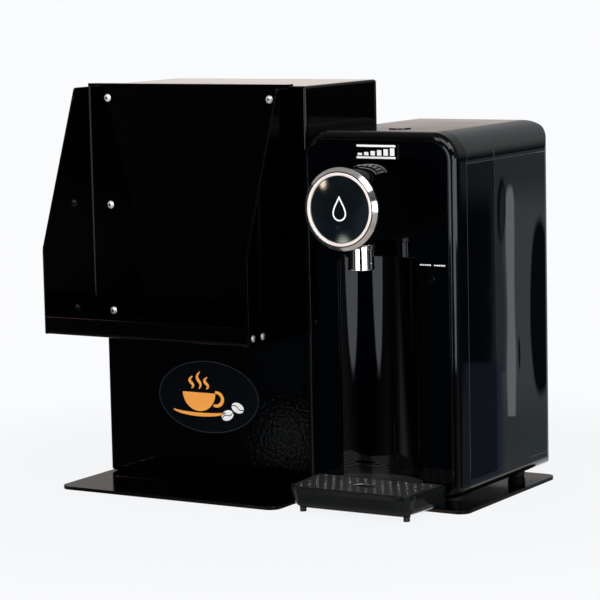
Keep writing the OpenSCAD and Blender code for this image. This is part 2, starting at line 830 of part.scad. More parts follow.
// Tub under the hot-water unit that carries the body, the tank and the feet
module base_skirt() {
    color([0.03, 0.03, 0.035])
    at_unit()
    difference() {
        intersection() {
            along_y(frame_d, unit_d - frame_d) unit_outline(0);
            linear_extrude(height = skirt_top) unit_plan(frame_d, 0);
        }
        intersection() {
            along_y(frame_d - over, unit_d - frame_d + over) unit_outline(wall);
            linear_extrude(height = skirt_top + over) unit_plan(frame_d - over, wall);
        }
        bar_y([0, unit_d - wall - over, gland_z], gland_neck_r + screw_play, wall + 2 * over);
    }
}

// Rubber feet of the hot-water unit
module unit_feet() {
    lean = 1;
    sole_r = 0.8;
    head_h = 2;
    side = unit_w / 2 - toe_r - foot_r - foot_inset;
    color([0.06, 0.06, 0.06])
    at_unit()
    for (s = [-1, 1], y = [frame_d + foot_r + foot_inset, unit_d - tank_corner_r - foot_r - foot_inset]) {
        translate([s * side, y, -foot_h])
        rotate_extrude()
        polygon(rounded([
            [0, 0, 0], [foot_r - lean, 0, sole_r], [foot_r, foot_h - head_h, 0], [foot_r, foot_h, 0],
            [0, foot_h, 0]
        ]));
    }
}

// Body between the front frame and the tank: two sides and a rear wall
module front_body() {
    color([0.03, 0.03, 0.035])
    at_unit()
    difference() {
        translate([-unit_w / 2, frame_d, skirt_top])
            cube([unit_w, tank_seam - frame_d, cap_bottom - skirt_top]);
        translate([-unit_w / 2 + wall, frame_d - over, skirt_top - over])
            cube([unit_w - 2 * wall, tank_seam - frame_d - wall + over, cap_bottom - skirt_top + 2 * over]);
    }
}

// Cap over the body, with the top button
module top_cover() {
    depth = tank_seam - frame_d;
    color([0.03, 0.03, 0.035])
    at_unit()
    difference() {
        along_y(frame_d, depth) unit_outline(0);
        along_y(frame_d - over, depth - wall + over) unit_outline(wall);
        translate([-unit_w, -over, -over]) cube([2 * unit_w, unit_d, cap_bottom + over]);
        bar_z([0, top_button_y, cap_bottom], top_button_r + button_play, cap_h + over);
    }
}

// Front frame with its edge rounded over, and the ledge that carries the panel
module front_frame() {
    ledge_back = 2 * panel_t;
    color([0.03, 0.03, 0.035])
    at_unit()
    difference() {
        hull() {
            for (i = [0:edge_steps]) {
                a = 90 * i / edge_steps;
                along_y(edge_r * (1 - cos(a)), slice)
                    unit_outline(edge_r * (1 - sin(a)), $fn = edge_fn);
            }
            along_y(edge_r, frame_d - edge_r) unit_outline(0, $fn = edge_fn);
        }
        along_y(-over, panel_t + over) unit_outline(edge_r);
        along_y(0, frame_d + over) unit_outline(edge_r + panel_ledge / 2);
        along_y(ledge_back, frame_d) unit_outline(wall);
    }
}

// Opening of the cup niche in the panel
module niche_opening() {
    polygon(rounded([
        [-niche_half, niche_floor, 0], [niche_half, niche_floor, 0],
        [niche_half, niche_top, niche_corner_r], [-niche_half, niche_top, niche_corner_r]
    ]));
}

// Flat front panel
module front_panel() {
    color([0.02, 0.02, 0.03])
    at_unit()
    difference() {
        along_y(0, panel_t) unit_outline(frame_inset);
        along_y(-over, panel_t + 2 * over) niche_opening();
        bar_y([0, -over, knob_z], hose_hole_r, panel_t + 2 * over);
        bar_y([reset_x, -over, reset_z], reset_r + button_play, panel_t + 2 * over);
    }
}

// Room of the cup niche behind the panel, from its curved wall forward, let out by a margin
module niche_room(margin, low, high) {
    half = niche_half + margin;
    intersection() {
        bar_z([0, niche_axis_y, low], niche_arc_r + margin, high - low);
        translate([-half, panel_t, low]) cube([2 * half, niche_depth + margin, high - low]);
    }
}

// Liner of the cup niche: a shallow curved wall, with its roof, floor and flange
module niche_liner() {
    low = niche_floor - niche_wall;
    flange_half = niche_half + niche_flange;
    color([0.02, 0.02, 0.025])
    at_unit()
    difference() {
        union() {
            niche_room(niche_wall, low, niche_top + niche_wall);
            translate([-flange_half, panel_t, low])
                cube([2 * flange_half, niche_wall, niche_top + niche_flange - low]);
        }
        niche_room(0, niche_floor, niche_top);
    }
}

// Bright plate on the niche's floor, level with the drip grid and as round as the niche's wall
module niche_plate() {
    half = niche_half - grid_play;
    color([0.7, 0.7, 0.72])
    at_unit()
    intersection() {
        bar_z([0, niche_axis_y, niche_floor], niche_arc_r - grid_play, grid_t);
        translate([-half, 0, niche_floor]) cube([2 * half, niche_depth, grid_t]);
    }
}

// Raised blank plate above the knob
module badge_plate() {
    half = badge_w / 2;
    low = badge_z - badge_h / 2;
    high = badge_z + badge_h / 2;
    r = 1;
    color([0.04, 0.04, 0.045])
    at_unit()
    along_y(-badge_t, badge_t)
        polygon(rounded([[-half, low, r], [half, low, r], [half, high, r], [-half, high, r]]));
}

// Drum and collar that carry the knob ahead of the panel, with the cup and the spigot for the selector ring
module spout_head() {
    edge = 0.8;
    spigot_l = neck_bore_end - web_front;
    color([0.03, 0.03, 0.035])
    at_unit()
    difference() {
        turned_about_knob()
            polygon(rounded([
                [0, web_front, 0], [spigot_r, web_front, 0], [spigot_r, cup_floor, 0], [cup_r, cup_floor, 0],
                [cup_r, ring_back + ring_gap, 0], [collar_r, ring_back + ring_gap, edge],
                [collar_r, collar_back, edge / 2], [neck_r, collar_back, 0],
                [neck_r, 0, 0], [neck_bore_r, 0, 0], [neck_bore_r, neck_bore_end, 0], [0, neck_bore_end, 0]
            ]));
        bar_y([0, web_front - over, knob_z], stem_r + button_play, spigot_l + 2 * over);
        bar_z([0, -nozzle_reach, nozzle_seat - nozzle_r], nozzle_spigot_r + screw_play, neck_r);
        bar_z([0, -nozzle_reach, 0], nozzle_r + nozzle_collar_lip + screw_play, nozzle_seat);
    }
}

// Chrome nozzle under the drum
module nozzle() {
    edge = 0.8;
    lip_r = nozzle_r + nozzle_collar_lip;
    collar_low = nozzle_seat - nozzle_collar_h;
    low = collar_low - nozzle_h;
    high = nozzle_seat + nozzle_spigot_h;
    color([0.8, 0.8, 0.82])
    at_unit()
    translate([0, -nozzle_reach, 0])
    rotate_extrude()
        polygon(rounded([
            [nozzle_bore_r, low, 0], [nozzle_r + nozzle_flare, low, edge], [nozzle_r, collar_low, 0],
            [lip_r, collar_low, edge / 2], [lip_r, nozzle_seat, 0], [nozzle_spigot_r, nozzle_seat, 0],
            [nozzle_spigot_r, high, 0], [nozzle_bore_r, high, 0]
        ]));
}

// Rotary switch inside the drum, behind the knob
module rotary_switch() {
    color([0.2, 0.2, 0.22])
    at_unit()
    difference() {
        bar_y([0, neck_bore_end, knob_z], switch_r, switch_l);
        bar_y([0, neck_bore_end - over, knob_z], stem_r + button_play, switch_l / 2 + over);
    }
}

// Chrome selector ring: a bead round the button, a bevel outside it, and a web that turns on the spigot
module selector_ring() {
    bead_edge = 0.9;
    rim_h = 1.2;
    groove_r = knob_r + bead_groove;
    groove_y = -knob_reach + 2 * bead_groove;
    bevel_y = -knob_reach + bead_groove;
    bore_r = spigot_r + ring_play;
    color([0.82, 0.82, 0.84])
    at_unit()
    turned_about_knob()
        polygon(rounded([
            [bore_r, web_front, 0], [pocket_r, web_front, 0], [pocket_r, -knob_reach, bead_edge],
            [knob_r, -knob_reach, bead_edge], [knob_r, groove_y, 0], [groove_r, groove_y, 0],
            [groove_r, bevel_y, 0], [ring_back_r, ring_back - rim_h, 0], [ring_back_r, ring_back, 0],
            [sleeve_r, ring_back, 0], [sleeve_r, web_back, 0], [bore_r, web_back, 0]
        ]));
}

// Domed face in the ring: the dispense button, on its stem
module dispense_button() {
    front = button_back - button_t;
    dome_r = (button_r * button_r + button_dome * button_dome) / (2 * button_dome);
    dome_angle = asin(button_r / dome_r);
    stem_end = neck_bore_end + switch_l / 2 - button_travel - stem_gap;
    dome_steps = 12;
    dome = [for (i = [0:dome_steps])
        let (a = dome_angle * i / dome_steps)
        [dome_r * sin(a), front - button_dome + dome_r * (1 - cos(a))]];
    color([0.02, 0.03, 0.05])
    at_unit()
    turned_about_knob()
        polygon(concat(dome, [
            [button_r, button_back], [stem_r, button_back], [stem_r, stem_end], [0, stem_end]
        ]));
}

// Small reset button in the front panel, held by its flange
module reset_button() {
    flange_t = 1;
    flange_r = reset_r + 1.6;
    edge = 0.4;
    inside = panel_t + seam;
    color([0.1, 0.1, 0.11])
    at_unit()
    translate([reset_x, 0, reset_z]) rotate([-90, 0, 0])
    rotate_extrude()
        polygon(rounded([
            [0, -reset_proud, 0], [reset_r, -reset_proud, edge], [reset_r, inside, 0],
            [flange_r, inside, 0], [flange_r, inside + flange_t, 0], [0, inside + flange_t, 0]
        ]));
}

// Round button in the top cover, held by its flange
module top_button() {
    flange_t = 2;
    flange_r = top_button_r + 2;
    edge = 0.6;
    under = unit_h - wall - seam;
    color([0.12, 0.12, 0.13])
    at_unit()
    translate([0, top_button_y, 0])
    rotate_extrude()
        polygon(rounded([
            [0, under - flange_t, 0], [flange_r, under - flange_t, 0], [flange_r, under, 0],
            [top_button_r, under, 0], [top_button_r, unit_h + top_button_proud, edge],
            [0, unit_h + top_button_proud, 0]
        ]));
}

// Hinge lug of the tank: a round eye on a foot inside the rear wall
module tank_lug(x) {
    near = hinge_y - lug_r;
    foot_low = cap_bottom - 4 * lug_r;
    post_low = cap_bottom - 2 * lug_r;
    post_w = 1.7 * lug_r;
    foot_back = unit_d - tank_wall / 2;
    along_x(x - lug_w / 2, lug_w) {
        translate([hinge_y, hinge_z]) circle(r = lug_r);
        translate([near, post_low]) square([post_w, hinge_z - post_low]);
        polygon([
            [near, post_low], [foot_back, foot_low], [foot_back, cap_bottom - over], [near, cap_bottom - over]
        ]);
    }
}

// Lift-off water tank behind the body, open at the top
module water_tank() {
    inner_front = tank_front + tank_wall;
    pin_end = lug_x + lug_w;
    color([0.03, 0.03, 0.04])
    at_unit()
    difference() {
        union() {
            difference() {
                translate([0, 0, tank_bottom]) linear_extrude(height = cap_bottom - tank_bottom)
                    unit_plan(tank_front, 0);
                translate([0, 0, tank_bottom + tank_wall]) linear_extrude(height = unit_h)
                    unit_plan(inner_front, tank_wall);
            }
            for (s = [-1, 1]) tank_lug(s * lug_x);
        }
        bar_x([-pin_end, hinge_y, hinge_z], hinge_pin_r + hinge_play, 2 * pin_end);
        bar_z([valve_x, valve_y, 0], valve_r + screw_play, tank_bottom + tank_wall + over);
    }
}

// Spring valve through the tank's floor
module tank_valve() {
    floor_z = tank_bottom + tank_wall;
    tip = socket_floor + 1;
    chamfer = 1;
    head_lip = 3;
    head_r = valve_r + head_lip;
    head_h = 3;
    head_edge = 0.8;
    color([0.75, 0.75, 0.75])
    at_unit()
    translate([valve_x, valve_y, 0])
    rotate_extrude()
        polygon(rounded([
            [socket_port_r, tip, 0], [valve_r - chamfer, tip, 0], [valve_r, tip + chamfer, 0],
            [valve_r, floor_z, 0], [head_r, floor_z, 0], [head_r, floor_z + head_h, head_edge],
            [socket_port_r, floor_z + head_h, 0]
        ]));
}

// Side outline of the lid, drawn in by an inset: round over the back, and round about its hinge below
module lid_side(inset) {
    low = cap_bottom + seam;
    back = unit_d - inset;
    polygon(rounded([
        [tank_front + inset, low, 0], [back, low, hinge_r - inset - seam],
        [back, unit_h - inset, lid_back_r - inset], [tank_front + inset, unit_h - inset, 0]
    ]));
}

// Lid of the tank, hinged at its back
module tank_lid() {
    slot_w = lug_w + 2 * seam;
    slot_h = hinge_r + lug_r + over;
    ear_w = 3;
    ear_x = lug_x - slot_w / 2 - ear_w;
    color([0.03, 0.03, 0.035])
    at_unit() {
        difference() {
            intersection() {
                along_y(tank_front, unit_d - tank_front) unit_outline(0);
                along_x(-unit_w / 2, unit_w) lid_side(0);
                linear_extrude(height = unit_h) unit_plan(tank_front, 0);
            }
            intersection() {
                along_y(tank_front, unit_d - tank_front) unit_outline(wall);
                translate([-unit_w / 2, tank_front + wall, cap_bottom - over])
                    cube([unit_w, unit_d - tank_front - 2 * wall, cap_h - wall + over]);
            }
            for (s = [-1, 1])
                translate([s * lug_x - slot_w / 2, hinge_y - 2 * lug_r, cap_bottom - over])
                    cube([slot_w, hinge_r + 2 * lug_r + over, slot_h + over]);
        }
        for (s = [-1, 1]) {
            along_x(s > 0 ? ear_x : -ear_x - ear_w, ear_w) {
                translate([hinge_y, hinge_z]) circle(r = lug_r);
                translate([hinge_y - lug_r, hinge_z]) square([2 * lug_r, unit_h - wall / 2 - hinge_z]);
            }
            bar_x([s > 0 ? ear_x : -ear_x - ear_w - lug_w, hinge_y, hinge_z], hinge_pin_r, ear_w + lug_w);
        }
    }
}

// Socket in the skirt that the tank's valve plugs into
module tank_socket() {
    rim_drop = 1;
    pocket_r = socket_bore_r + seal_w;
    color([0.3, 0.3, 0.32])
    at_unit()
    difference() {
        bar_z([valve_x, valve_y, socket_floor], pocket_r + socket_wall, skirt_top - socket_floor - rim_drop);
        bar_z([valve_x, valve_y, socket_floor + seal_rest], pocket_r, skirt_top);
        bar_z([valve_x, valve_y, socket_floor - over], socket_port_r, seal_rest + 2 * over);
    }
}

// Rubber seal round the valve, in its socket
module socket_seal() {
    color([0.5, 0.15, 0.1])
    at_unit()
    difference() {
        bar_z([valve_x, valve_y, socket_floor + seal_rest], socket_bore_r + seal_w, seal_h);
        bar_z([valve_x, valve_y, socket_floor], socket_bore_r, seal_rest + seal_h + over);
    }
}

// Drip tray with a round lower edge, bosses over its feet, and the tongue that slides under the unit
module drip_tray() {
    rim_h = grid_t + tray_rim_skirt;
    ledge_z = tray_rim_z - grid_ledge;
    ledge_inset = grid_rim + grid_ledge;
    tongue_root = tray_taper + 1.5 * tray_wall;
    boss_wall = 0.6;
    color([0.03, 0.03, 0.035])
    difference() {
        union() {
            tray_bowl(tray_top - rim_h, rim_h, 0, tray_round);
            translate([unit_mid - tongue_w / 2, tray_back - tongue_root, tongue_z])
                cube([tongue_w, tongue_root + tongue_l, tongue_t]);
            for (x = tray_foot_xs)
                bar_z([x, tray_foot_y, tray_floor_z], tray_foot_r + boss_wall, tray_round / 2);
        }
        tray_bowl(ledge_z, slice, ledge_inset, tray_round - tray_wall);
        tray_slab(ledge_z - slice, rim_h, ledge_inset);
        tray_slab(tray_rim_z, rim_h, grid_rim);
    }
}

// Perforated steel grid in the tray's rim, with a finger slot
module drip_grid() {
    inset = grid_rim + grid_play;
    edge = inset + grid_edge;
    row_pitch = grid_pitch * sin(60);
    rows = floor((tray_d - 2 * edge) / row_pitch);
    columns = floor((tray_back_w / 2) / grid_pitch);
    slot_y = tray_back - tray_d / 2;
    slot_run = finger_slot_l - finger_slot_w;
    flare = (tray_back_w - tray_front_w) / 2;
    color([0.7, 0.7, 0.72])
    difference() {
        tray_slab(tray_rim_z, grid_t, inset);
        for (row = [0:rows], k = [-columns:columns]) {
            x = (k + (row % 2) / 2) * grid_pitch;
            y = tray_front + edge + row * row_pitch;
            corner_room = y < tray_front + tray_corner_r ? tray_corner_r / 3 : 0;
            room = tray_front_w / 2 + flare * (y - tray_front) / tray_d - edge - corner_room;
            beside_slot = abs(x) > finger_slot_l / 2 + grid_hole_d;
            off_slot = abs(y - slot_y) > finger_slot_w / 2 + grid_hole_d;
            if (abs(x) < room && (beside_slot || off_slot))
                bar_z([unit_mid + x, y, tray_rim_z - over], grid_hole_d / 2, grid_t + 2 * over, $fn = 16);
        }
        translate([unit_mid, slot_y, tray_rim_z - over]) linear_extrude(height = grid_t + 2 * over) {
            square([slot_run, finger_slot_w], center = true);
            for (s = [-1, 1]) translate([s * slot_run / 2, 0]) circle(r = finger_slot_w / 2);
        }
    }
}

// Two feet under the front of the drip tray
module tray_feet() {
    color([0.06, 0.06, 0.06])
    for (x = tray_foot_xs) bar_z([x, tray_foot_y, 0], tray_foot_r, tray_foot_h);
}

// Water pump, standing on the skirt's floor
module pump() {
    housing_h = 0.55 * pump_h;
    motor_r = 0.8 * pump_r;
    color([0.25, 0.25, 0.27])
    at_unit() {
        bar_z([pump_x, pump_y, wall], pump_r, housing_h);
        bar_z([pump_x, pump_y, wall + housing_h], motor_r, pump_h - housing_h);
        bar_x([pump_x, pump_y, port_z], hose_r, pump_r + port_l);
        bar_z([pump_x, pump_y, wall + pump_h], hose_r, pump_port_h);
    }
}

// Flow heater, standing on the skirt's floor
module heater() {
    band = 5;
    band_proud = 1;
    color([0.7, 0.7, 0.72])
    at_unit() {
        bar_z([heater_x, heater_y, wall], heater_r - band_proud, heater_h);
        for (z = [wall, wall + heater_h / 2, wall + heater_h - band])
            bar_z([heater_x, heater_y, z], heater_r, band);
        bar_x([heater_x - heater_r - port_l, cross_y, cross_z], hose_r, heater_r);
        bar_z([heater_x, heater_y, wall + heater_h], hose_r, heater_port_h);
    }
}

// A hose along a route of square turns, with round elbows
module hose(route) {
    for (i = [0:len(route) - 2]) {
        a = route[i];
        b = route[i + 1];
        low = [for (k = [0:2]) min(a[k], b[k])];
        run = norm(b - a);
        if (a[0] != b[0]) bar_x(low, hose_r, run);
        if (a[1] != b[1]) bar_y(low, hose_r, run);
        if (a[2] != b[2]) bar_z(low, hose_r, run);
    }
    for (i = [1:len(route) - 2]) translate(route[i]) sphere(r = hose_r);
}

// Hose from the tank's socket to the pump
module inlet_hose() {
    color([0.8, 0.8, 0.75])
    at_unit()
    hose([
        [valve_x, valve_y - socket_bore_r - seal_w - socket_wall, port_z], [valve_x, pump_y, port_z],
        [pump_x + pump_r + port_l, pump_y, port_z]
    ]);
}

// Hose from the pump, behind the niche, to the heater
module pump_hose() {
    color([0.8, 0.8, 0.75])
    at_unit()
    hose([
        [pump_x, pump_y, wall + pump_h + pump_port_h], [pump_x, pump_y, cross_z], [pump_x, cross_y, cross_z],
        [heater_x - heater_r - port_l, cross_y, cross_z]
    ]);
}

// Hose from the heater, through the drum, to the nozzle
module outlet_hose() {
    color([0.8, 0.8, 0.75])
    at_unit()
    hose([
        [heater_x, heater_y, wall + heater_h + heater_port_h], [heater_x, heater_y, hose_z],
        [0, heater_y, hose_z], [0, -nozzle_reach, hose_z],
        [0, -nozzle_reach, nozzle_seat + nozzle_spigot_h]
    ]);
}

// Control board on pillars behind the knob
module control_board() {
    low = niche_top + niche_wall + control_rise;
    back = tank_seam - wall;
    front = back - board_stand - board_t;
    pillar_x = control_w / 2 - pillar_edge;
    pillar_l = board_stand + board_t / 2;
    chip_w = control_w / 8;
    color([0.1, 0.35, 0.15])
    at_unit() {
        translate([-control_w / 2, front, low]) cube([control_w, board_t, control_h]);
        for (s = [-1, 1], z = [low + pillar_edge, low + control_h - pillar_edge])
            bar_y([s * pillar_x, front + board_t / 2, z], pillar_r, pillar_l);
        for (i = [-1:1])
            translate([2 * i * chip_w - chip_w / 2, front - component_h / 2, low + control_h / 4])
                cube([chip_w, component_h / 2 + board_t / 2, control_h / 2]);
    }
}

// Power board on pillars on the unit's side wall
module power_board() {
    side = -unit_w / 2 + wall;
    face = side + board_stand;
    low = cross_z + power_rise;
    block_h = power_h / 6;
    pillar_ys = [power_y + pillar_edge, power_y + power_w - pillar_edge];
    pillar_zs = [low + pillar_edge, low + power_h - pillar_edge];
    color([0.1, 0.35, 0.15])
    at_unit() {
        translate([face, power_y, low]) cube([board_t, power_w, power_h]);
        for (y = pillar_ys, z = pillar_zs) bar_x([side, y, z], pillar_r, board_stand + board_t / 2);
        for (i = [1:2:5])
            translate([face + board_t / 2, power_y + power_w / 4, low + (i - 0.5) * block_h])
                cube([component_h + board_t / 2, power_w / 2, block_h]);
    }
}

// Gland at the back of the skirt for the mains lead
module cord_gland() {
    bore = gland_r / 2;
    tip_r = 0.7 * gland_r;
    inside = -wall - 2;
    color([0.08, 0.08, 0.08])
    at_unit()
    translate([0, unit_d, gland_z]) rotate([-90, 0, 0])
    rotate_extrude()
        polygon([
            [bore, inside], [gland_neck_r, inside], [gland_neck_r, 0], [gland_r, 0], [tip_r, gland_l],
            [bore, gland_l]
        ]);
}

base_plate();
base_screws();
base_nuts();
cabinet_shell();
cabinet_back();
cabinet_screws();
rack_bracket();
rack_tray();
rack_screws();
tray_screws();
base_skirt();
unit_feet();
front_body();
top_cover();
front_frame();
front_panel();
niche_liner();
niche_plate();
badge_plate();
spout_head();
nozzle();
rotary_switch();
selector_ring();
dispense_button();
reset_button();
top_button();
water_tank();
tank_valve();
tank_lid();
tank_socket();
socket_seal();
drip_tray();
drip_grid();
tray_feet();
pump();
heater();
inlet_hose();
pump_hose();
outlet_hose();
control_board();
power_board();
cord_gland();
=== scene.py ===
"""Looks of a counter-top hot drink station: a cup rack on a steel cabinet beside a hot water unit.

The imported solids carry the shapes. This script gives each of them its finish, lays on the label
and the printed marks, and sets up the studio and the camera.
"""
import logging
import math
from dataclasses import dataclass
from enum import Enum
from itertools import chain
from typing import Callable, ClassVar, Optional, Sequence, Union

import bmesh
import bpy
from mathutils import Matrix, Vector
from mathutils.bvhtree import BVHTree


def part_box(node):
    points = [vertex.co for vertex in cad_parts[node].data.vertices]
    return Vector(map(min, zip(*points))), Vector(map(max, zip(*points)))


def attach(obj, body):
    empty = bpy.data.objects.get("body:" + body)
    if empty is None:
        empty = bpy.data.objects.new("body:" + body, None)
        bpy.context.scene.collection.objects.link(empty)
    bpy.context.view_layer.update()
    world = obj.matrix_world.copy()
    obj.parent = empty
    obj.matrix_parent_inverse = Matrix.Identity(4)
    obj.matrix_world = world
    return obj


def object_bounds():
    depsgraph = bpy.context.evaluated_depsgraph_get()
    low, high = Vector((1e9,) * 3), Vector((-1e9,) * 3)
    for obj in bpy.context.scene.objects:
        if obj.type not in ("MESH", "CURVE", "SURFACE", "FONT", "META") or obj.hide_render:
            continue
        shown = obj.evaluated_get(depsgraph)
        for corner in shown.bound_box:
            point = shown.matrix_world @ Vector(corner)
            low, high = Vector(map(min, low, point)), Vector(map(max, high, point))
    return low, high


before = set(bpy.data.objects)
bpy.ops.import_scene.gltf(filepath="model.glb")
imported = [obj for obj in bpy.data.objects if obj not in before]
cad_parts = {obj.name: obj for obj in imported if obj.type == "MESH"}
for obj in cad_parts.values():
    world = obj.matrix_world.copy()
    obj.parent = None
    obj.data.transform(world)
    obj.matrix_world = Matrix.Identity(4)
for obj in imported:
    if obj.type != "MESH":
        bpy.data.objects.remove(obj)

CAD_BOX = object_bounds()
MM = 0.001
NOISE_MIDDLE = 0.5
BEVEL_SAMPLES = 6
CORNER_SAMPLES = 8
INWARD = Vector((0.0, 1.0, 0.0))
LOG = logging.getLogger("hot_drink_station")

Triple = tuple[float, float, float]
Colour = Triple
Point = tuple[float, float]
Oval = tuple[Point, Point]
Key = Union[str, int]
Value = Union["Wire", float, int, Sequence[float]]
Sockets = dict[Key, Value]
Place = Callable[[float, float, float], Vector]


class Ray(Enum):
    """The kinds of ray that the floor and the surround tell apart."""

    CAMERA = "Is Camera Ray"
    GLOSSY = "Is Glossy Ray"
    THROUGH = "Is Transmission Ray"


class Wire:
    """A node's output that takes part in Python arithmetic."""

    def __init__(self, graph: "Graph", socket: bpy.types.NodeSocket) -> None:
        """Keep the socket and the graph that its Math nodes go into."""
        self.graph = graph
        self.socket = socket

    def math(self, operation: str, *values: Value) -> "Wire":
        """Return the result of one Math node on these values."""
        return self.graph.node("ShaderNodeMath", {"operation": operation}, dict(enumerate(values)))

    def __add__(self, other: Value) -> "Wire":
        """Add a value."""
        return self.math("ADD", self, other)

    def __radd__(self, other: Value) -> "Wire":
        """Add to a value."""
        return self.math("ADD", other, self)

    def __sub__(self, other: Value) -> "Wire":
        """Take a value away."""
        return self.math("SUBTRACT", self, other)

    def __rsub__(self, other: Value) -> "Wire":
        """Take away from a value."""
        return self.math("SUBTRACT", other, self)

    def __mul__(self, other: Value) -> "Wire":
        """Multiply by a value."""
        return self.math("MULTIPLY", self, other)

    def __rmul__(self, other: Value) -> "Wire":
        """Multiply a value."""
        return self.math("MULTIPLY", other, self)

    def size(self) -> "Wire":
        """Return the value without its sign."""
        return self.math("ABSOLUTE", self)

    def length(self, other: "Wire") -> "Wire":
        """Return the length of a line that runs this far one way and another value across it."""
        return self.math("SQRT", self * self + other * other)

    def larger(self, other: Value) -> "Wire":
        """Return the larger of this and another value."""
        return self.math("MAXIMUM", self, other)

    def step(self, low: float, high: float) -> "Wire":
        """Return a soft step from 0 at low to 1 at high."""
        return self.graph.node(
            "ShaderNodeMapRange",
            {"interpolation_type": "SMOOTHSTEP"},
            {"Value": self, "From Min": low, "From Max": high},
        )


class Graph:
    """A node tree with one method that adds nodes."""

    def __init__(self, tree: bpy.types.NodeTree) -> None:
        """Start from an empty tree."""
        self.tree = tree
        self.tree.nodes.clear()

    @staticmethod
    def pick(sockets: Sequence[bpy.types.NodeSocket], key: Key) -> bpy.types.NodeSocket:
        """Find a socket by its place or by its name.

        Args:
            sockets: a node's inputs or outputs.
            key: the place, or the name of a socket that the node's settings leave in use.

        Returns:
            The socket.
        """
        if isinstance(key, int):
            return sockets[key]
        return next(s for s in sockets if s.enabled and s.name == key)

    def node(
        self,
        kind: str,
        settings: Optional[dict[str, object]] = None,
        sockets: Optional[Sockets] = None,
        out: Key = 0,
    ) -> Optional[Wire]:
        """Add one node.

        Args:
            kind: the node's type.
            settings: its properties, set first.
            sockets: values or links of its inputs.
            out: the output to return.

        Returns:
            That output, or None for a node without outputs.
        """
        made = self.tree.nodes.new(kind)
        for name, value in (settings or {}).items():
            setattr(made, name, value)
        for key, value in (sockets or {}).items():
            socket = self.pick(made.inputs, key)
            if isinstance(value, Wire):
                self.tree.links.new(value.socket, socket)
            elif isinstance(value, (int, float)):
                socket.default_value = value
            else:
                room = len(socket.default_value)
                socket.default_value = (tuple(value) + (1.0,))[:room]
        return Wire(self, self.pick(made.outputs, out)) if made.outputs else None

    def place(
        self,
        stretch: Triple = (1.0, 1.0, 1.0),
        shift: Triple = (0.0, 0.0, 0.0),
    ) -> Wire:
        """Find the point on the part in millimetres.

        Args:
            stretch: a factor for each axis.
            shift: what is added to the stretched point.

        Returns:
            The point.
        """
        here = self.node("ShaderNodeTexCoord", out="Object")
        size = tuple(s / MM for s in stretch)
        sockets: Sockets = {"Vector": here, "Scale": size, "Location": shift}
        return self.node("ShaderNodeMapping", {}, sockets)

    def noise(
        self,
        wave: float,
        detail: float = 2.0,
        at: Optional[Wire] = None,
        twist: float = 0.0,
    ) -> Wire:
        """Return cloudy noise from 0 to 1 whose grain is about wave millimetres."""
        sockets: Sockets = {"Scale": 1.0 / wave, "Detail": detail, "Distortion": twist}
        return self.node("ShaderNodeTexNoise", {}, {"Vector": at or self.place(), **sockets})

    def cells(self, wave: float, at: Optional[Wire] = None) -> Wire:
        """Return the distance to the nearest cell centre, for cells of about wave millimetres."""
        sockets: Sockets = {"Vector": at or self.place(), "Scale": 1.0 / wave}
        return self.node("ShaderNodeTexVoronoi", {}, sockets)

    def openness(self, reach: float) -> Wire:
        """Return how open a point is within a reach in millimetres, from 0 to 1."""
        settings = {"samples": CORNER_SAMPLES}
        return self.node("ShaderNodeAmbientOcclusion", settings, {"Distance": reach * MM}, out="AO")

    def ray(self, kind: Ray) -> Wire:
        """Return 1 for rays of one kind."""
        return self.node("ShaderNodeLightPath", out=kind.value)

    def blend(self, part: Value, first: Value, second: Value) -> Wire:
        """Return a colour between two others."""
        sockets: Sockets = {"Factor": part, "A": first, "B": second}
        return self.node("ShaderNodeMix", {"data_type": "RGBA"}, sockets, out="Result")

    def bump(self, height: Wire, depth: float, ease: float = 0.0) -> Wire:
        """Turn a height into a normal.

        Args:
            height: the height, from 0 to 1.
            depth: what that span measures in millimetres.
            ease: the radius in millimetres that edges are eased by.

        Returns:
            The normal.
        """
        sockets: Sockets = {"Height": height, "Distance": depth * MM, "Strength": 1.0}
        if ease > 0.0:
            settings = {"samples": BEVEL_SAMPLES}
            sockets["Normal"] = self.node("ShaderNodeBevel", settings, {"Radius": ease * MM})
        return self.node("ShaderNodeBump", {}, sockets)


@dataclass
class Skin:
    """What changes over a surface."""

    colour: Value
    roughness: Value
    normal: Optional[Wire] = None
    metallic: Optional[Wire] = None


@dataclass(frozen=True)
class Finish:
    """One finish: its constants, and the detail that each kind of finish draws."""

    name: str
    colour: Colour
    roughness: float
    metallic: float = 0.0
    specular: float = 0.5
    ease: float = 0.0
    shades: Point = (0.8, 1.2)

    def skin(self, g: Graph) -> Skin:
        """Return the detail of the surface."""
        raise NotImplementedError

    def tint(self, factor: float) -> Colour:
        """Return the colour made lighter or darker."""
        return tuple(min(1.0, c * factor) for c in self.colour)

    def shade(self, g: Graph, part: Value) -> Wire:
        """Return a colour that runs from the darker shade to the lighter one."""
        return g.blend(part, self.tint(self.shades[0]), self.tint(self.shades[1]))

    def material(self) -> bpy.types.Material:
        """Return the material of this finish, made on first use.

        Returns:
            The material.
        """
        known = bpy.data.materials.get(self.name)
        if known:
            return known
        made = bpy.data.materials.new(self.name)
        made.use_nodes = True
        g = Graph(made.node_tree)
        skin = self.skin(g)
        sockets: Sockets = {
            "Base Color": skin.colour,
            "Roughness": skin.roughness,
            "Metallic": self.metallic if skin.metallic is None else skin.metallic,
            "Specular IOR Level": self.specular,
        }
        if skin.normal is not None:
            sockets["Normal"] = skin.normal
        shader = g.node("ShaderNodeBsdfPrincipled", {}, sockets, out="BSDF")
        g.node("ShaderNodeOutputMaterial", {}, {"Surface": shader})
        return made


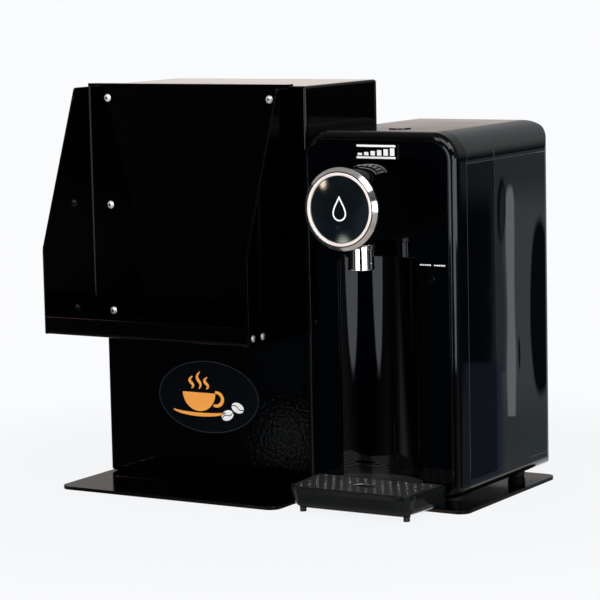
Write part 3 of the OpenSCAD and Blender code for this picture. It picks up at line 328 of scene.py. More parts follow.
@dataclass(frozen=True)
class PowderCoat(Finish):
    """Baked coat on steel: orange peel, cloudy gloss and a few lighter specks."""

    peel: float = 2.0
    depth: float = 0.01
    haze: float = 0.05
    cloud: float = 55.0
    shades: Point = (0.7, 1.4)
    speck_pitch: float = 9.0
    speck_r: Point = (0.02, 0.05)
    speck_part: float = 0.3
    speck_tint: float = 4.0
    speck_rough: float = 0.1

    def skin(self, g: Graph) -> Skin:
        """Draw the peel, the haze and the specks.

        Args:
            g: the material's graph.

        Returns:
            The surface.
        """
        peel = g.noise(self.peel, detail=1.0)
        cloud = g.noise(self.cloud, detail=3.0)
        speck = 1 - g.cells(self.speck_pitch).step(*self.speck_r)
        pale = self.tint(self.speck_tint)
        colour = g.blend(speck * self.speck_part, self.shade(g, cloud), pale)
        rough = self.roughness + self.haze * (cloud - NOISE_MIDDLE) + self.speck_rough * speck
        return Skin(colour, rough, g.bump(peel, self.depth, self.ease))


@dataclass(frozen=True)
class GlossMoulding(Finish):
    """Polished moulded plastic: slow waves from the mould, hairline scratches and finger haze."""

    wave: float = 34.0
    wave_stretch: Triple = (1.0, 1.0, 0.3)
    depth: float = 0.05
    haze: float = 0.03
    hair: float = 1.3
    hair_stretch: Triple = (1.0, 0.9, 0.05)
    hair_edge: Point = (0.62, 0.8)
    hair_part: float = 0.4
    smear: float = 38.0
    smear_edge: Point = (0.5, 0.85)
    shades: Point = (0.8, 1.3)

    def skin(self, g: Graph) -> Skin:
        """Draw the waves, the scratches and the haze.

        Args:
            g: the material's graph.

        Returns:
            The surface.
        """
        waves = g.noise(self.wave, detail=0.6, at=g.place(self.wave_stretch))
        hairs = g.noise(self.hair, detail=2.0, at=g.place(self.hair_stretch), twist=0.4)
        smear = g.noise(self.smear, detail=4.0, twist=0.8)
        dull = smear.step(*self.smear_edge) + self.hair_part * hairs.step(*self.hair_edge)
        rough = self.roughness + self.haze * dull
        return Skin(self.shade(g, smear), rough, g.bump(waves, self.depth, self.ease))


@dataclass(frozen=True)
class DarkLens(Finish):
    """Clear cap over a dark mirrored backing: a deep colour with a cloudy bloom."""

    bloom: Colour = (0.03, 0.048, 0.054)
    bloom_wave: float = 24.0
    bloom_shift: Triple = (3.0, 0.0, 11.0)
    bloom_edge: Point = (0.42, 0.75)
    haze: float = 0.02
    haze_wave: float = 7.0
    depth: float = 0.01

    def skin(self, g: Graph) -> Skin:
        """Draw the bloom and a faint haze.

        Args:
            g: the material's graph.

        Returns:
            The surface.
        """
        cloud = g.noise(self.bloom_wave, at=g.place(shift=self.bloom_shift))
        colour = g.blend(cloud.step(*self.bloom_edge), self.colour, self.bloom)
        rough = self.roughness + self.haze * g.noise(self.haze_wave, detail=3.0)
        return Skin(colour, rough, g.bump(cloud, self.depth))


class Grain(Enum):
    """The direction in which a metal is brushed."""

    ACROSS = (0.02, 1.0, 1.0)
    ROUND = (1.0, 1.0, 1.0)


@dataclass(frozen=True)
class BareMetal(Finish):
    """Steel, chrome or aluminium: brush lines, clouding, and painted shade in sockets and corners.
    """

    grain: Grain = Grain.ROUND
    line: float = 0.25
    line_part: float = 0.6
    depth: float = 0.002
    spread: float = 0.12
    cloud: float = 14.0
    cloud_spread: float = 0.5
    # Reach in millimetres of the painted shade in recesses; 0 leaves it out.
    recess_shade: float = 0.0
    recess_shade_edge: Point = (0.62, 0.92)
    recess_shade_tint: float = 0.04
    shades: Point = (0.82, 1.1)

    def skin(self, g: Graph) -> Skin:
        """Draw the brush lines, the clouding and the painted shade in sockets and corners.

        Args:
            g: the material's graph.

        Returns:
            The surface.
        """
        lines = g.noise(self.line, at=g.place(self.grain.value))
        cloud = g.noise(self.cloud, detail=3.0)
        colour = self.shade(g, self.line_part * lines + (1 - self.line_part) * cloud)
        # Painted shade: the colour darkens where ambient occlusion finds sockets, corners and the
        # rims of heads.
        if self.recess_shade > 0.0:
            unshaded = g.openness(self.recess_shade).step(*self.recess_shade_edge)
            colour = g.blend(unshaded, self.tint(self.recess_shade_tint), colour)
        uneven = (lines - NOISE_MIDDLE) + self.cloud_spread * (cloud - NOISE_MIDDLE)
        return Skin(colour, self.roughness + self.spread * uneven, g.bump(lines, self.depth))


@dataclass(frozen=True)
class PlatedRing(BareMetal):
    """Plated ring: a satin bead round its front, a dark line of painted shade outside it, and a
    bright bevel behind them.
    """

    axis: Point = (108.5, 262.5)
    bead: Colour = (0.7, 0.62, 0.585)
    bead_r: float = 30.9
    bead_metallic: float = 0.25
    bead_roughness: float = 0.38
    groove_w: float = 1.0
    groove_shade: Colour = (0.012, 0.011, 0.011)
    edge: float = 0.1

    def beyond(self, radius: Wire, limit: float) -> Wire:
        """Return 1 for points that lie further from the axis than a limit."""
        return radius.step(limit - self.edge, limit + self.edge)

    def skin(self, g: Graph) -> Skin:
        """Draw the bead over the plating, and a line of painted shade in the groove outside it.

        Args:
            g: the material's graph.

        Returns:
            The surface.
        """
        plate = super().skin(g)
        here = g.place(shift=(-self.axis[0], 0.0, -self.axis[1]))
        across, up = (g.node("ShaderNodeSeparateXYZ", {}, {0: here}, out=axis) for axis in "XZ")
        radius = across.length(up)
        front = 1 - self.beyond(radius, self.bead_r)
        # Painted shade: a dark band without metal just outside the bead, standing for the shadow in
        # the groove.
        groove = 1 - front.larger(self.beyond(radius, self.bead_r + self.groove_w))
        colour = g.blend(front, plate.colour, self.bead)
        colour = g.blend(groove, colour, self.groove_shade)
        rough = plate.roughness + front * (self.bead_roughness - self.roughness)
        metal = self.metallic + front * (self.bead_metallic - self.metallic)
        return Skin(colour, rough, plate.normal, metal * (1 - groove))


@dataclass(frozen=True)
class SoftPlastic(Finish):
    """Matt plastic or rubber: a fine grain, with scuffs that shine a little."""

    grain: float = 0.6
    grain_spread: float = 0.05
    depth: float = 0.02
    scuff: float = 16.0
    scuff_edge: Point = (0.55, 0.8)
    scuff_shine: float = 0.15

    def skin(self, g: Graph) -> Skin:
        """Draw the grain and the scuffs.

        Args:
            g: the material's graph.

        Returns:
            The surface.
        """
        grain = g.noise(self.grain, detail=3.0)
        scuff = g.noise(self.scuff, detail=4.0, twist=0.5)
        shine = self.scuff_shine * scuff.step(*self.scuff_edge)
        rough = self.roughness - shine + self.grain_spread * (grain - NOISE_MIDDLE)
        return Skin(self.shade(g, scuff), rough, g.bump(grain, self.depth))


@dataclass(frozen=True)
class CircuitBoard(Finish):
    """Lacquered board: paler tracks, tinned pads and the weave under them."""

    track_tint: float = 2.2
    pad: Colour = (0.6, 0.58, 0.52)
    pad_pitch: float = 4.5
    pad_r: Point = (0.13, 0.17)
    pad_shine: float = 0.12
    weave: float = 0.7
    weave_spread: float = 0.1
    depth: float = 0.05

    def skin(self, g: Graph) -> Skin:
        """Draw the tracks, the pads and the weave.

        Args:
            g: the material's graph.

        Returns:
            The surface.
        """
        at = g.place()
        rows: Sockets = {"Vector": at, "Scale": 0.16, "Mortar Size": 0.06}
        rows |= {"Brick Width": 0.7, "Row Height": 0.35}
        tracks = g.node("ShaderNodeTexBrick", {}, rows, out="Fac")
        pads = 1 - g.cells(self.pad_pitch, at).step(*self.pad_r)
        weave = g.noise(self.weave, detail=1.0, at=at)
        colour = g.blend(tracks, self.colour, self.tint(self.track_tint))
        colour = g.blend(pads, colour, self.pad)
        rough = self.roughness - self.pad_shine * pads + self.weave_spread * weave
        return Skin(colour, rough, g.bump(tracks.larger(pads), self.depth))


@dataclass(frozen=True)
class Ink(Finish):
    """Printed ink or film: a fine screen in its colour and gloss."""

    dot: float = 0.35
    dot_part: float = 0.6
    contrast: float = 0.2
    fade: float = 11.0
    spread: float = 0.2
    depth: float = 0.003

    def skin(self, g: Graph) -> Skin:
        """Draw the screen of the print.

        Args:
            g: the material's graph.

        Returns:
            The surface.
        """
        screen = g.noise(self.dot)
        part = self.dot_part * screen + (1 - self.dot_part) * g.noise(self.fade)
        colour = g.blend(part, self.tint(1.0 - self.contrast), self.tint(1.0 + self.contrast))
        rough = self.roughness + self.spread * (screen - NOISE_MIDDLE)
        return Skin(colour, rough, g.bump(screen, self.depth))


class Coat:
    """The finishes of the station: a name, a colour, a roughness and what sets each apart."""

    GLOSS_STEEL = PowderCoat(
        "gloss_black_coat", (0.0003, 0.0003, 0.0004), 0.06,
        specular=0.11, ease=0.5, peel=3.2, depth=0.004)
    PLATE_STEEL = PowderCoat(
        "plate_black_coat", (0.0010, 0.0010, 0.0012), 0.12,
        specular=0.2, ease=0.5, peel=1.6, depth=0.006)
    PEEL_STEEL = PowderCoat(
        "peel_black_coat", (0.0003, 0.0003, 0.0005), 0.05,
        specular=0.14, ease=0.5, peel=3.6, depth=0.03)
    PIANO = GlossMoulding(
        "piano_black_moulding", (0.0008, 0.0010, 0.0013), 0.02,
        specular=0.1, wave=46.0, depth=0.02)
    DRUM = GlossMoulding(
        "drum_black_moulding", (0.0005, 0.0006, 0.0008), 0.03,
        specular=0.08, wave=46.0, depth=0.01)
    FRAME = GlossMoulding(
        "frame_black_moulding", (0.0008, 0.0010, 0.0013), 0.015,
        specular=0.2, ease=0.9, wave=46.0, depth=0.03)
    TANK = GlossMoulding(
        "tank_black_moulding", (0.0008, 0.0010, 0.0013), 0.0,
        ease=0.6, wave=52.0, depth=0.03, haze=0.01)
    TRAY = GlossMoulding(
        "tray_black_moulding", (0.004, 0.005, 0.0055), 0.08,
        specular=0.24, ease=0.9, wave=30.0, depth=0.02)
    PANEL = GlossMoulding(
        "panel_black_moulding", (0.0002, 0.0003, 0.0006), 0.015,
        specular=0.13, ease=0.8, wave=60.0, depth=0.02)
    KEY = GlossMoulding(
        "black_key_moulding", (0.002, 0.002, 0.0025), 0.03, ease=0.4, wave=20.0, depth=0.01)
    LENS = DarkLens("deep_blue_lens", (0.016, 0.024, 0.03), 0.05, metallic=0.85, specular=0.2)
    RING = PlatedRing(
        "plated_ring", (0.83, 0.79, 0.77), 0.1, metallic=0.97, depth=0.0004, spread=0.03)
    CHROME = BareMetal(
        "chrome_plate", (0.83, 0.81, 0.79), 0.05, metallic=1.0, depth=0.0004, spread=0.03)
    STAINLESS = BareMetal(
        "stainless_screw", (0.82, 0.8, 0.77), 0.3, metallic=0.4, line=0.4, recess_shade=3.0)
    ZINC = BareMetal(
        "grey_zinc_screw", (0.34, 0.33, 0.32), 0.34, metallic=0.5, line=0.5, recess_shade=2.0)
    GRID = BareMetal(
        "polished_grid", (0.74, 0.72, 0.7), 0.34,
        metallic=1.0, grain=Grain.ACROSS, line=0.3, depth=0.0006)
    HEATER = BareMetal(
        "cast_heater_metal", (0.55, 0.55, 0.54), 0.38, metallic=1.0, line=0.8, depth=0.02)
    RUBBER = SoftPlastic("black_rubber_foot", (0.008, 0.008, 0.008), 0.72, grain=0.7, depth=0.03)
    SEAL = SoftPlastic("seal_rubber_ring", (0.035, 0.035, 0.038), 0.6, grain=0.5)
    PALE = SoftPlastic("pale_valve_plastic", (0.74, 0.74, 0.71), 0.4, grain=0.8, depth=0.01)
    GREY = SoftPlastic("grey_housing_plastic", (0.17, 0.175, 0.18), 0.45, grain=0.7, depth=0.015)
    SILICONE = SoftPlastic("milky_silicone", (0.66, 0.66, 0.62), 0.36, grain=1.4, depth=0.008)
    BOARD = CircuitBoard("green_board_lacquer", (0.008, 0.06, 0.03), 0.3)
    FILM = Ink(
        "navy_label_film", (0.0012, 0.002, 0.003), 0.12, specular=0.1, dot=0.5, contrast=0.5)
    RIM = Ink("grey_label_rim", (0.012, 0.014, 0.016), 0.3, specular=0.15)
    ORANGE = Ink("orange_ink", (0.86, 0.33, 0.045), 0.5, dot=0.8, contrast=0.12)
    WHITE = Ink("white_ink", (0.82, 0.8, 0.79), 0.45, contrast=0.06)


Coats = dict[Finish, tuple[str, ...]]


@dataclass(frozen=True)
class Stroke:
    """A drawn line whose half width follows its points."""

    path: tuple[Point, ...]
    half: tuple[float, ...]
    closed: bool = False

    def sides(self) -> tuple[list[Point], list[Point]]:
        """Return the points along the left side and along the right side."""
        left: list[Point] = []
        right: list[Point] = []
        last = len(self.path) - 1
        for i, (x, y) in enumerate(self.path):
            ahead = self.path[(i + 1) % len(self.path) if self.closed else min(i + 1, last)]
            behind = self.path[i - 1 if self.closed else max(i - 1, 0)]
            run = Vector((ahead[0] - behind[0], ahead[1] - behind[1])).normalized()
            left.append((x - run.y * self.half[i], y + run.x * self.half[i]))
            right.append((x + run.y * self.half[i], y - run.x * self.half[i]))
        return left, right

    def raise_on(self, mesh: bmesh.types.BMesh, place: Place, thick: float) -> None:
        """Add the line to a mesh as a thin closed slab.

        Args:
            mesh: the mesh that grows.
            place: turns a drawn point and its height into a point on the part.
            thick: the height of the slab in millimetres.
        """
        left, right = self.sides()
        rings = []
        for a, b in zip(left, right):
            corners = [(a, 0.0), (b, 0.0), (b, thick), (a, thick)]
            rings.append([mesh.verts.new(place(p[0], p[1], h)) for p, h in corners])
        after = rings[1:] + rings[:1] if self.closed else rings[1:]
        for here, there in zip(rings, after):
            for i in range(len(here)):
                j = (i + 1) % len(here)
                mesh.faces.new((here[i], here[j], there[j], there[i]))
        if not self.closed:
            mesh.faces.new(rings[0])
            mesh.faces.new(rings[-1][::-1])


@dataclass(frozen=True)
class Patch:
    """A filled outline."""

    outline: tuple[Point, ...]

    def raise_on(self, mesh: bmesh.types.BMesh, place: Place, thick: float) -> None:
        """Add the patch to a mesh as a thin closed slab.

        Args:
            mesh: the mesh that grows.
            place: turns a drawn point and its height into a point on the part.
            thick: the height of the slab in millimetres.
        """
        low = [mesh.verts.new(place(x, y, 0.0)) for x, y in self.outline]
        high = [mesh.verts.new(place(x, y, thick)) for x, y in self.outline]
        mesh.faces.new(low[::-1])
        mesh.faces.new(high)
        for i in range(len(low)):
            j = (i + 1) % len(low)
            mesh.faces.new((low[i], low[j], high[j], high[i]))


def arc(centre: Point, radii: Point, start: float, end: float, count: int) -> tuple[Point, ...]:
    """Return points along part of an ellipse.

    Args:
        centre: its middle.
        radii: its half width and half height.
        start: the first angle in degrees.
        end: the last angle in degrees.
        count: how many points.

    Returns:
        The points, both ends among them.
    """
    (x, y), (wide, tall) = centre, radii
    angles = [math.radians(start + (end - start) * i / (count - 1)) for i in range(count)]
    return tuple((x + wide * math.cos(a), y + tall * math.sin(a)) for a in angles)


def taper(path: Sequence[Point], half: float, ends: float = 0.3) -> tuple[float, ...]:
    """Return half widths that swell in the middle of a line and thin at its ends."""
    turn = math.pi / (len(path) - 1)
    return tuple(half * (ends + (1 - ends) * math.sin(turn * i)) for i in range(len(path)))


@dataclass(frozen=True)
class Print:
    """Flat pieces of one finish that lie on the part as one object."""

    name: str
    body: str
    finish: Finish
    slot: str
    shapes: tuple[Union[Stroke, Patch], ...]
    thick: float

    def lay(self, place: Place) -> bpy.types.Object:
        """Build the object, ride it on its body and finish it.

        Args:
            place: turns a drawn point and its height into a point on the part.

        Returns:
            The new object.
        """
        drawn = bmesh.new()
        for shape in self.shapes:
            shape.raise_on(drawn, place, self.thick)
        bmesh.ops.recalc_face_normals(drawn, faces=drawn.faces)
        mesh = bpy.data.meshes.new(self.name)
        drawn.to_mesh(mesh)
        drawn.free()
        mesh.materials.append(self.finish.material())
        made = bpy.data.objects.new(self.name, mesh)
        bpy.context.scene.collection.objects.link(made)
        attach(made, self.body)
        return made


def on_front(origin: Vector) -> Place:
    """Return a place on a front face: across, up, and out of the face, in millimetres."""
    return lambda u, v, h: origin + Vector((u * MM, -h * MM, v * MM))


def on_dome(node: str) -> Place:
    """Return a place on a domed front face, round the middle of a node.

    Args:
        node: the node that has the dome.

    Returns:
        The place: across, up, and out of the dome, in millimetres.
    """
    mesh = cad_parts[node].data
    tree = BVHTree.FromPolygons(
        [v.co for v in mesh.vertices], [p.vertices for p in mesh.polygons])
    low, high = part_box(node)
    middle = (low + high) / 2
    ahead = low.y - (high.y - low.y)

    def place(u: float, v: float, h: float) -> Vector:
        """Drop a point on the dome from in front of it."""
        start = Vector((middle.x + u * MM, ahead, middle.z + v * MM))
        return tree.ray_cast(start, INWARD)[0] - INWARD * (h * MM)

    return place


@dataclass
class SubAssembly:
    """A group of nodes with their finishes and the pieces that lie on them."""

    title: ClassVar[str] = ""
    coats: ClassVar[Coats] = {}

    def dress(self) -> None:
        """Give each node its finish."""
        for finish, nodes in self.coats.items():
            for node in nodes:
                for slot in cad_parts[node].material_slots:
                    slot.material = finish.material()
                LOG.info("%s: %s in %s", self.title, node, finish.name)

    def build(self) -> list[bpy.types.Object]:
        """Build the pieces that lie on the nodes; most groups have none."""
        return []


@dataclass
class BaseStand(SubAssembly):
    """The steel plate under both units, with its screws and nuts."""

    title: ClassVar[str] = "base"
    coats: ClassVar[Coats] = {
        Coat.PLATE_STEEL: ("base_plate",),
        Coat.STAINLESS: ("base_screws", "base_nuts"),
    }


@dataclass
class CupCabinet(SubAssembly):
    """The steel cabinet with the oval label on its front."""

    label_at: Point = (-80.5, 79.4)
    label_half: Point = (54.0, 33.4)
    label_steps: int = 96
    rim_inset: float = 1.0
    rim_half: float = 0.32
    film_thick: float = 0.2
    print_thick: float = 0.3
    bowl: Oval = ((-10.0, 3.5), (17.5, 17.0))
    handle: Oval = ((8.0, -1.5), (7.0, 6.2))
    saucer: Oval = ((-10.0, -12.0), (29.0, 4.6))
    line_half: float = 1.7
    handle_ends: float = 0.7
    steam: tuple[Point, ...] = ((-18.0, 11.0), (-10.0, 15.5), (-2.0, 11.0))
    steam_low: float = 7.0
    steam_half: float = 1.5
    steam_sway: float = 1.9
    steam_turns: float = 1.1
    steam_steps: int = 18
    beans: tuple[tuple[Point, float], ...] = (((20.0, -15.5), 24.0), ((31.0, -8.0), -18.0))
    bean_half: Point = (6.6, 4.6)
    split_half: float = 5.6
    split_gap: float = 0.45
    split_sway: float = 1.1
    split_steps: int = 12
    title: ClassVar[str] = "cabinet"
    coats: ClassVar[Coats] = {
        Coat.PEEL_STEEL: ("cabinet_shell", "cabinet_back"),
        Coat.STAINLESS: ("cabinet_screws",),
    }

    def wisp(self, x: float, rise: float) -> Stroke:
        """Draw one wisp of steam.

        Args:
            x: its middle line.
            rise: its height.

        Returns:
            The line.
        """
        swing = 2 * math.pi * self.steam_turns
        steps = [i / self.steam_steps for i in range(self.steam_steps + 1)]
        path = tuple(
            (x + self.steam_sway * math.sin(swing * t), self.steam_low + rise * t) for t in steps)
        return Stroke(path, taper(path, self.steam_half))

    def cup(self) -> tuple[Union[Stroke, Patch], ...]:
        """Draw a steaming cup on a saucer.

        Returns:
            Its shapes, in millimetres round the middle of the label.
        """
        bowl = arc(*self.bowl, start=180.0, end=360.0, count=33)
        handle = arc(*self.handle, start=96.0, end=-112.0, count=21)
        saucer = arc(*self.saucer, start=196.0, end=344.0, count=31)
        return (
            Patch(bowl),
            Stroke(handle, taper(handle, self.line_half, self.handle_ends)),
            Stroke(saucer, taper(saucer, self.line_half)),
            *(self.wisp(x, rise) for x, rise in self.steam),
        )

    def bean(self, centre: Point, turn: float) -> tuple[Patch, ...]:
        """Draw a coffee bean as two halves along a curved split.

        Args:
            centre: its middle.
            turn: its tilt in degrees.

        Returns:
            The two halves.
        """
        spin = Matrix.Rotation(math.radians(turn), 2)
        wide, tall = self.bean_half
        steps = [i / self.split_steps for i in range(self.split_steps + 1)]
        wave = [
            (self.split_half * (2 * t - 1), self.split_sway * math.sin(2 * math.pi * t))
            for t in steps
        ]
        halves = []
        for side in (1.0, -1.0):
            outer = arc((0.0, 0.0), (wide, tall * side), start=6.0, end=174.0, count=21)
            split = [(x, self.split_gap * side + y) for x, y in wave]
            ring = [spin @ Vector(p) for p in (*outer, *split)]
            halves.append(Patch(tuple((centre[0] + p.x, centre[1] + p.y) for p in ring)))
        return tuple(halves)

    def oval(self, inset: float) -> tuple[Point, ...]:
        """Return the label's outline, drawn in by an inset."""
        half = (self.label_half[0] - inset, self.label_half[1] - inset)
        return arc((0.0, 0.0), half, start=0.0, end=360.0, count=self.label_steps + 1)[:-1]

    def build(self) -> list[bpy.types.Object]:
        """Lay the label film, its rim and its two inks on the cabinet's front.

        Returns:
            The four pieces.
        """
        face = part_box("cabinet_shell")[0].y
        place = on_front(Vector((self.label_at[0] * MM, face, self.label_at[1] * MM)))
        film = Patch(self.oval(0.0))
        rim = self.oval(self.rim_inset)
        ring = Stroke(rim, (self.rim_half,) * len(rim), closed=True)
        beans = tuple(half for at, turn in self.beans for half in self.bean(at, turn))
        prints = (
            ("label_film", Coat.FILM, (film,), self.film_thick),
            ("label_rim", Coat.RIM, (ring,), self.print_thick),
            ("label_cup", Coat.ORANGE, self.cup(), self.print_thick),
            ("label_beans", Coat.WHITE, beans, self.print_thick),
        )
        return [
            Print(name, "chassis", ink, "textured_black_steel", shapes, thick).lay(place)
            for name, ink, shapes, thick in prints
        ]


@dataclass
class CupRack(SubAssembly):
    """The folded rack that hangs on the cabinet."""

    title: ClassVar[str] = "rack"
    coats: ClassVar[Coats] = {
        Coat.GLOSS_STEEL: ("rack_bracket", "rack_tray"),
        Coat.STAINLESS: ("rack_screws",),
        Coat.ZINC: ("tray_screws",),
    }


@dataclass
class DispenserBody(SubAssembly):
    """The housing of the hot water unit with its front panel and niche."""

    rule_half: float = 0.9
    rule_rise: float = 5.0
    badge_edge: float = 2.6
    badge_thick: float = 0.12
    blocks: int = 6
    block_w: float = 4.2
    block_low: float = -3.2
    block_top: float = -1.2
    block_step: float = 0.88
    tick: Point = (1.5, 1.1)
    tick_thick: float = 0.08
    tick_x: Point = (148.8, 172.7)
    tick_z: float = 211.0
    tick_places: int = 11
    tick_gap: int = 5
    title: ClassVar[str] = "housing"
    coats: ClassVar[Coats] = {
        Coat.PIANO: ("front_body",),
        Coat.TANK: ("base_skirt", "top_cover"),
        Coat.FRAME: ("front_frame",),
        Coat.PANEL: ("front_panel", "niche_liner", "badge_plate"),
        Coat.GRID: ("niche_plate",),
        Coat.RUBBER: ("unit_feet",),
    }

    @staticmethod
    def bar(x0: float, x1: float, z0: float, z1: float) -> Patch:
        """Return a rectangle."""
        return Patch(((x0, z0), (x1, z0), (x1, z1), (x0, z1)))

    def badge(self) -> Print:
        """Draw the badge: two rules with a rising strength scale between them.

        Returns:
            The print, in millimetres round the middle of the badge plate.
        """
        low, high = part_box("badge_plate")
        reach = (high.x - low.x) / 2 / MM - self.badge_edge
        rise, half = self.rule_rise, self.rule_half
        shapes = [self.bar(-reach, reach, z - half, z + half) for z in (rise, -rise)]
        pitch = 2 * reach / self.blocks
        for i in range(self.blocks):
            left = -reach + i * pitch + (pitch - self.block_w) / 2
            top = self.block_top + self.block_step * i
            shapes.append(self.bar(left, left + self.block_w, self.block_low, top))
        slot = "panel_black"
        return Print("badge_scale", "chassis", Coat.WHITE, slot, tuple(shapes), self.badge_thick)

    def ticks(self) -> Print:
        """Draw the row of ticks over the reset button, with a gap in its middle.

        Returns:
            The print, in millimetres from the origin.
        """
        x0, x1 = self.tick_x
        wide, tall = self.tick
        low, high = self.tick_z - tall / 2, self.tick_z + tall / 2
        pitch = (x1 - x0 - wide) / (self.tick_places - 1)
        lefts = [x0 + i * pitch for i in range(self.tick_places) if i != self.tick_gap]
        shapes = tuple(self.bar(x, x + wide, low, high) for x in lefts)
        return Print("reset_ticks", "chassis", Coat.WHITE, "panel_black", shapes, self.tick_thick)

    def build(self) -> list[bpy.types.Object]:
        """Lay the badge's print and the reset ticks on the front.

        Returns:
            The two pieces.
        """
        low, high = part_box("badge_plate")
        badge = on_front(Vector(((low.x + high.x) / 2, low.y, (low.z + high.z) / 2)))
        panel = on_front(Vector((0.0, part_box("front_panel")[0].y, 0.0)))
        return [self.badge().lay(badge), self.ticks().lay(panel)]


@dataclass
class SelectorKnob(SubAssembly):
    """The spout drum with its turning ring, pressing face and nozzle."""

    drop_half: float = 5.9
    drop_low: float = -9.2
    drop_high: float = 10.6
    drop_steps: int = 96
    drop_thick: float = 0.1
    pinch: float = 0.93
    pinch_power: float = 1.6
    line_half: float = 0.62
    title: ClassVar[str] = "knob"
    coats: ClassVar[Coats] = {
        Coat.DRUM: ("spout_head",),
        Coat.RING: ("selector_ring",),
        Coat.CHROME: ("nozzle",),
        Coat.LENS: ("dispense_button",),
        Coat.GREY: ("rotary_switch",),
    }

    def drop(self) -> Stroke:
        """Draw the outline of a water drop.

        Returns:
            The closed line, in millimetres round the middle of the face.
        """
        centre = self.drop_low + self.drop_half
        rise = self.drop_high - centre
        points = []
        for i in range(self.drop_steps):
            t = 2 * math.pi * i / self.drop_steps
            up = math.cos(t)
            lean = 1.0 - self.pinch * max(0.0, up) ** self.pinch_power
            reach = rise if up > 0 else self.drop_half
            points.append((self.drop_half * math.sin(t) * lean, centre + reach * up))
        return Stroke(tuple(points), (self.line_half,) * len(points), closed=True)

    def build(self) -> list[bpy.types.Object]:
        """Lay the drop on the pressing face."""
        face, line = "dispense_button", (self.drop(),)
        icon = Print("drop_icon", face, Coat.WHITE, "button_face", line, self.drop_thick)
        return [icon.lay(on_dome(face))]


@dataclass
class Keys(SubAssembly):
    """The two small buttons."""

    title: ClassVar[str] = "keys"
    coats: ClassVar[Coats] = {
        Coat.PANEL: ("reset_button",),
        Coat.KEY: ("top_button",),
    }


@dataclass
class WaterTank(SubAssembly):
    """The lift-off tank with its lid, valve and socket."""

    title: ClassVar[str] = "tank"
    coats: ClassVar[Coats] = {
        Coat.TANK: ("water_tank", "tank_lid"),
        Coat.PALE: ("tank_valve",),
        Coat.GREY: ("tank_socket",),
        Coat.SEAL: ("socket_seal",),
    }


@dataclass
class DripTray(SubAssembly):
    """The sliding tray with its lift-out grid."""

    title: ClassVar[str] = "tray"
    coats: ClassVar[Coats] = {
        Coat.TRAY: ("drip_tray",),
        Coat.GRID: ("drip_grid",),
        Coat.RUBBER: ("tray_feet",),
    }


@dataclass
class WaterWorks(SubAssembly):
    """What works inside the unit: pump, heater, hoses and boards."""

    title: ClassVar[str] = "inside"
    coats: ClassVar[Coats] = {
        Coat.GREY: ("pump",),
        Coat.HEATER: ("heater",),
        Coat.SILICONE: ("inlet_hose", "pump_hose", "outlet_hose"),
        Coat.BOARD: ("control_board", "power_board"),
        Coat.RUBBER: ("cord_gland",),
    }


@dataclass(frozen=True)
class Softbox:
    """A lit panel that stands round the part and faces it."""

    name: str
    azimuth: float
    distance: float
    width: float
    low: float
    high: float
    radiance: float
    tint: Colour

    def stand(self, centre: Vector) -> bpy.types.Object:
        """Put the panel up.

        Args:
            centre: the point that it faces, at its own height.

        Returns:
            The lamp.
        """
        lamp = bpy.data.lights.new(self.name, "AREA")
        lamp.shape = "RECTANGLE"
        lamp.size = self.width
        lamp.size_y = self.high - self.low
        lamp.energy = self.radiance * math.pi * lamp.size * lamp.size_y
        lamp.color = self.tint
        made = bpy.data.objects.new(self.name, lamp)
        turn = math.radians(self.azimuth)
        out = Vector((math.sin(turn), -math.cos(turn), 0.0))
        middle = Vector((centre.x, centre.y, (self.low + self.high) / 2))
        made.location = middle + out * self.distance
        made.rotation_euler = (math.pi / 2, 0.0, turn)
        made.visible_camera = False
        made.visible_glossy = False
        bpy.context.scene.collection.objects.link(made)
        return made


@dataclass(frozen=True)
class Card:
    """A pale or dark card in the room, which only gloss shows; its sizes are angles in degrees.

    Its aim is its azimuth and its rise, and its half is its half width and half height.
    """

    aim: Point
    half: Point
    soft: float
    colour: Colour
    oval: bool = False
    facing_edge: ClassVar[Point] = (0.0, 0.1)

    def mask(self, g: Graph) -> Wire:
        """Tell which rays head for the card.

        Args:
            g: the surround's graph.

        Returns:
            1 for rays that do and 0 for others, with soft edges.
        """
        a, e = (math.radians(v) for v in self.aim)
        ahead = (math.sin(a) * math.cos(e), -math.cos(a) * math.cos(e), math.sin(e))
        right = (math.cos(a), math.sin(a), 0.0)
        upward = (-math.sin(a) * math.sin(e), math.cos(a) * math.sin(e), math.cos(e))
        ray = g.node("ShaderNodeTexCoord", out="Generated")
        dot = {"operation": "DOT_PRODUCT"}
        across, along, facing = (
            g.node("ShaderNodeVectorMath", dot, {0: ray, 1: axis}, out="Value")
            for axis in (right, upward, ahead)
        )
        half_w, half_h, soft = (math.sin(math.radians(v)) for v in (*self.half, self.soft))
        if self.oval:
            reach = (across * (1 / half_w)).length(along * (1 / half_h))
            fade = soft / min(half_w, half_h)
            inside = 1 - reach.step(1 - fade, 1 + fade)
        else:
            inside = 1 - across.size().step(half_w - soft, half_w + soft)
            inside = inside * (1 - along.size().step(half_h - soft, half_h + soft))
        return inside * facing.step(*self.facing_edge)


class Tone:
    """The colours that several cards share."""

    WALL = (0.32, 0.32, 0.33)
    GROUND = (0.95, 0.97, 1.0)
    STRIP = (6.5, 6.7, 7.0)
    WINDOW = (5.2, 5.6, 6.0)
    STREAK = (0.9, 1.0, 1.05)
    GLOOM = (0.01, 0.012, 0.015)


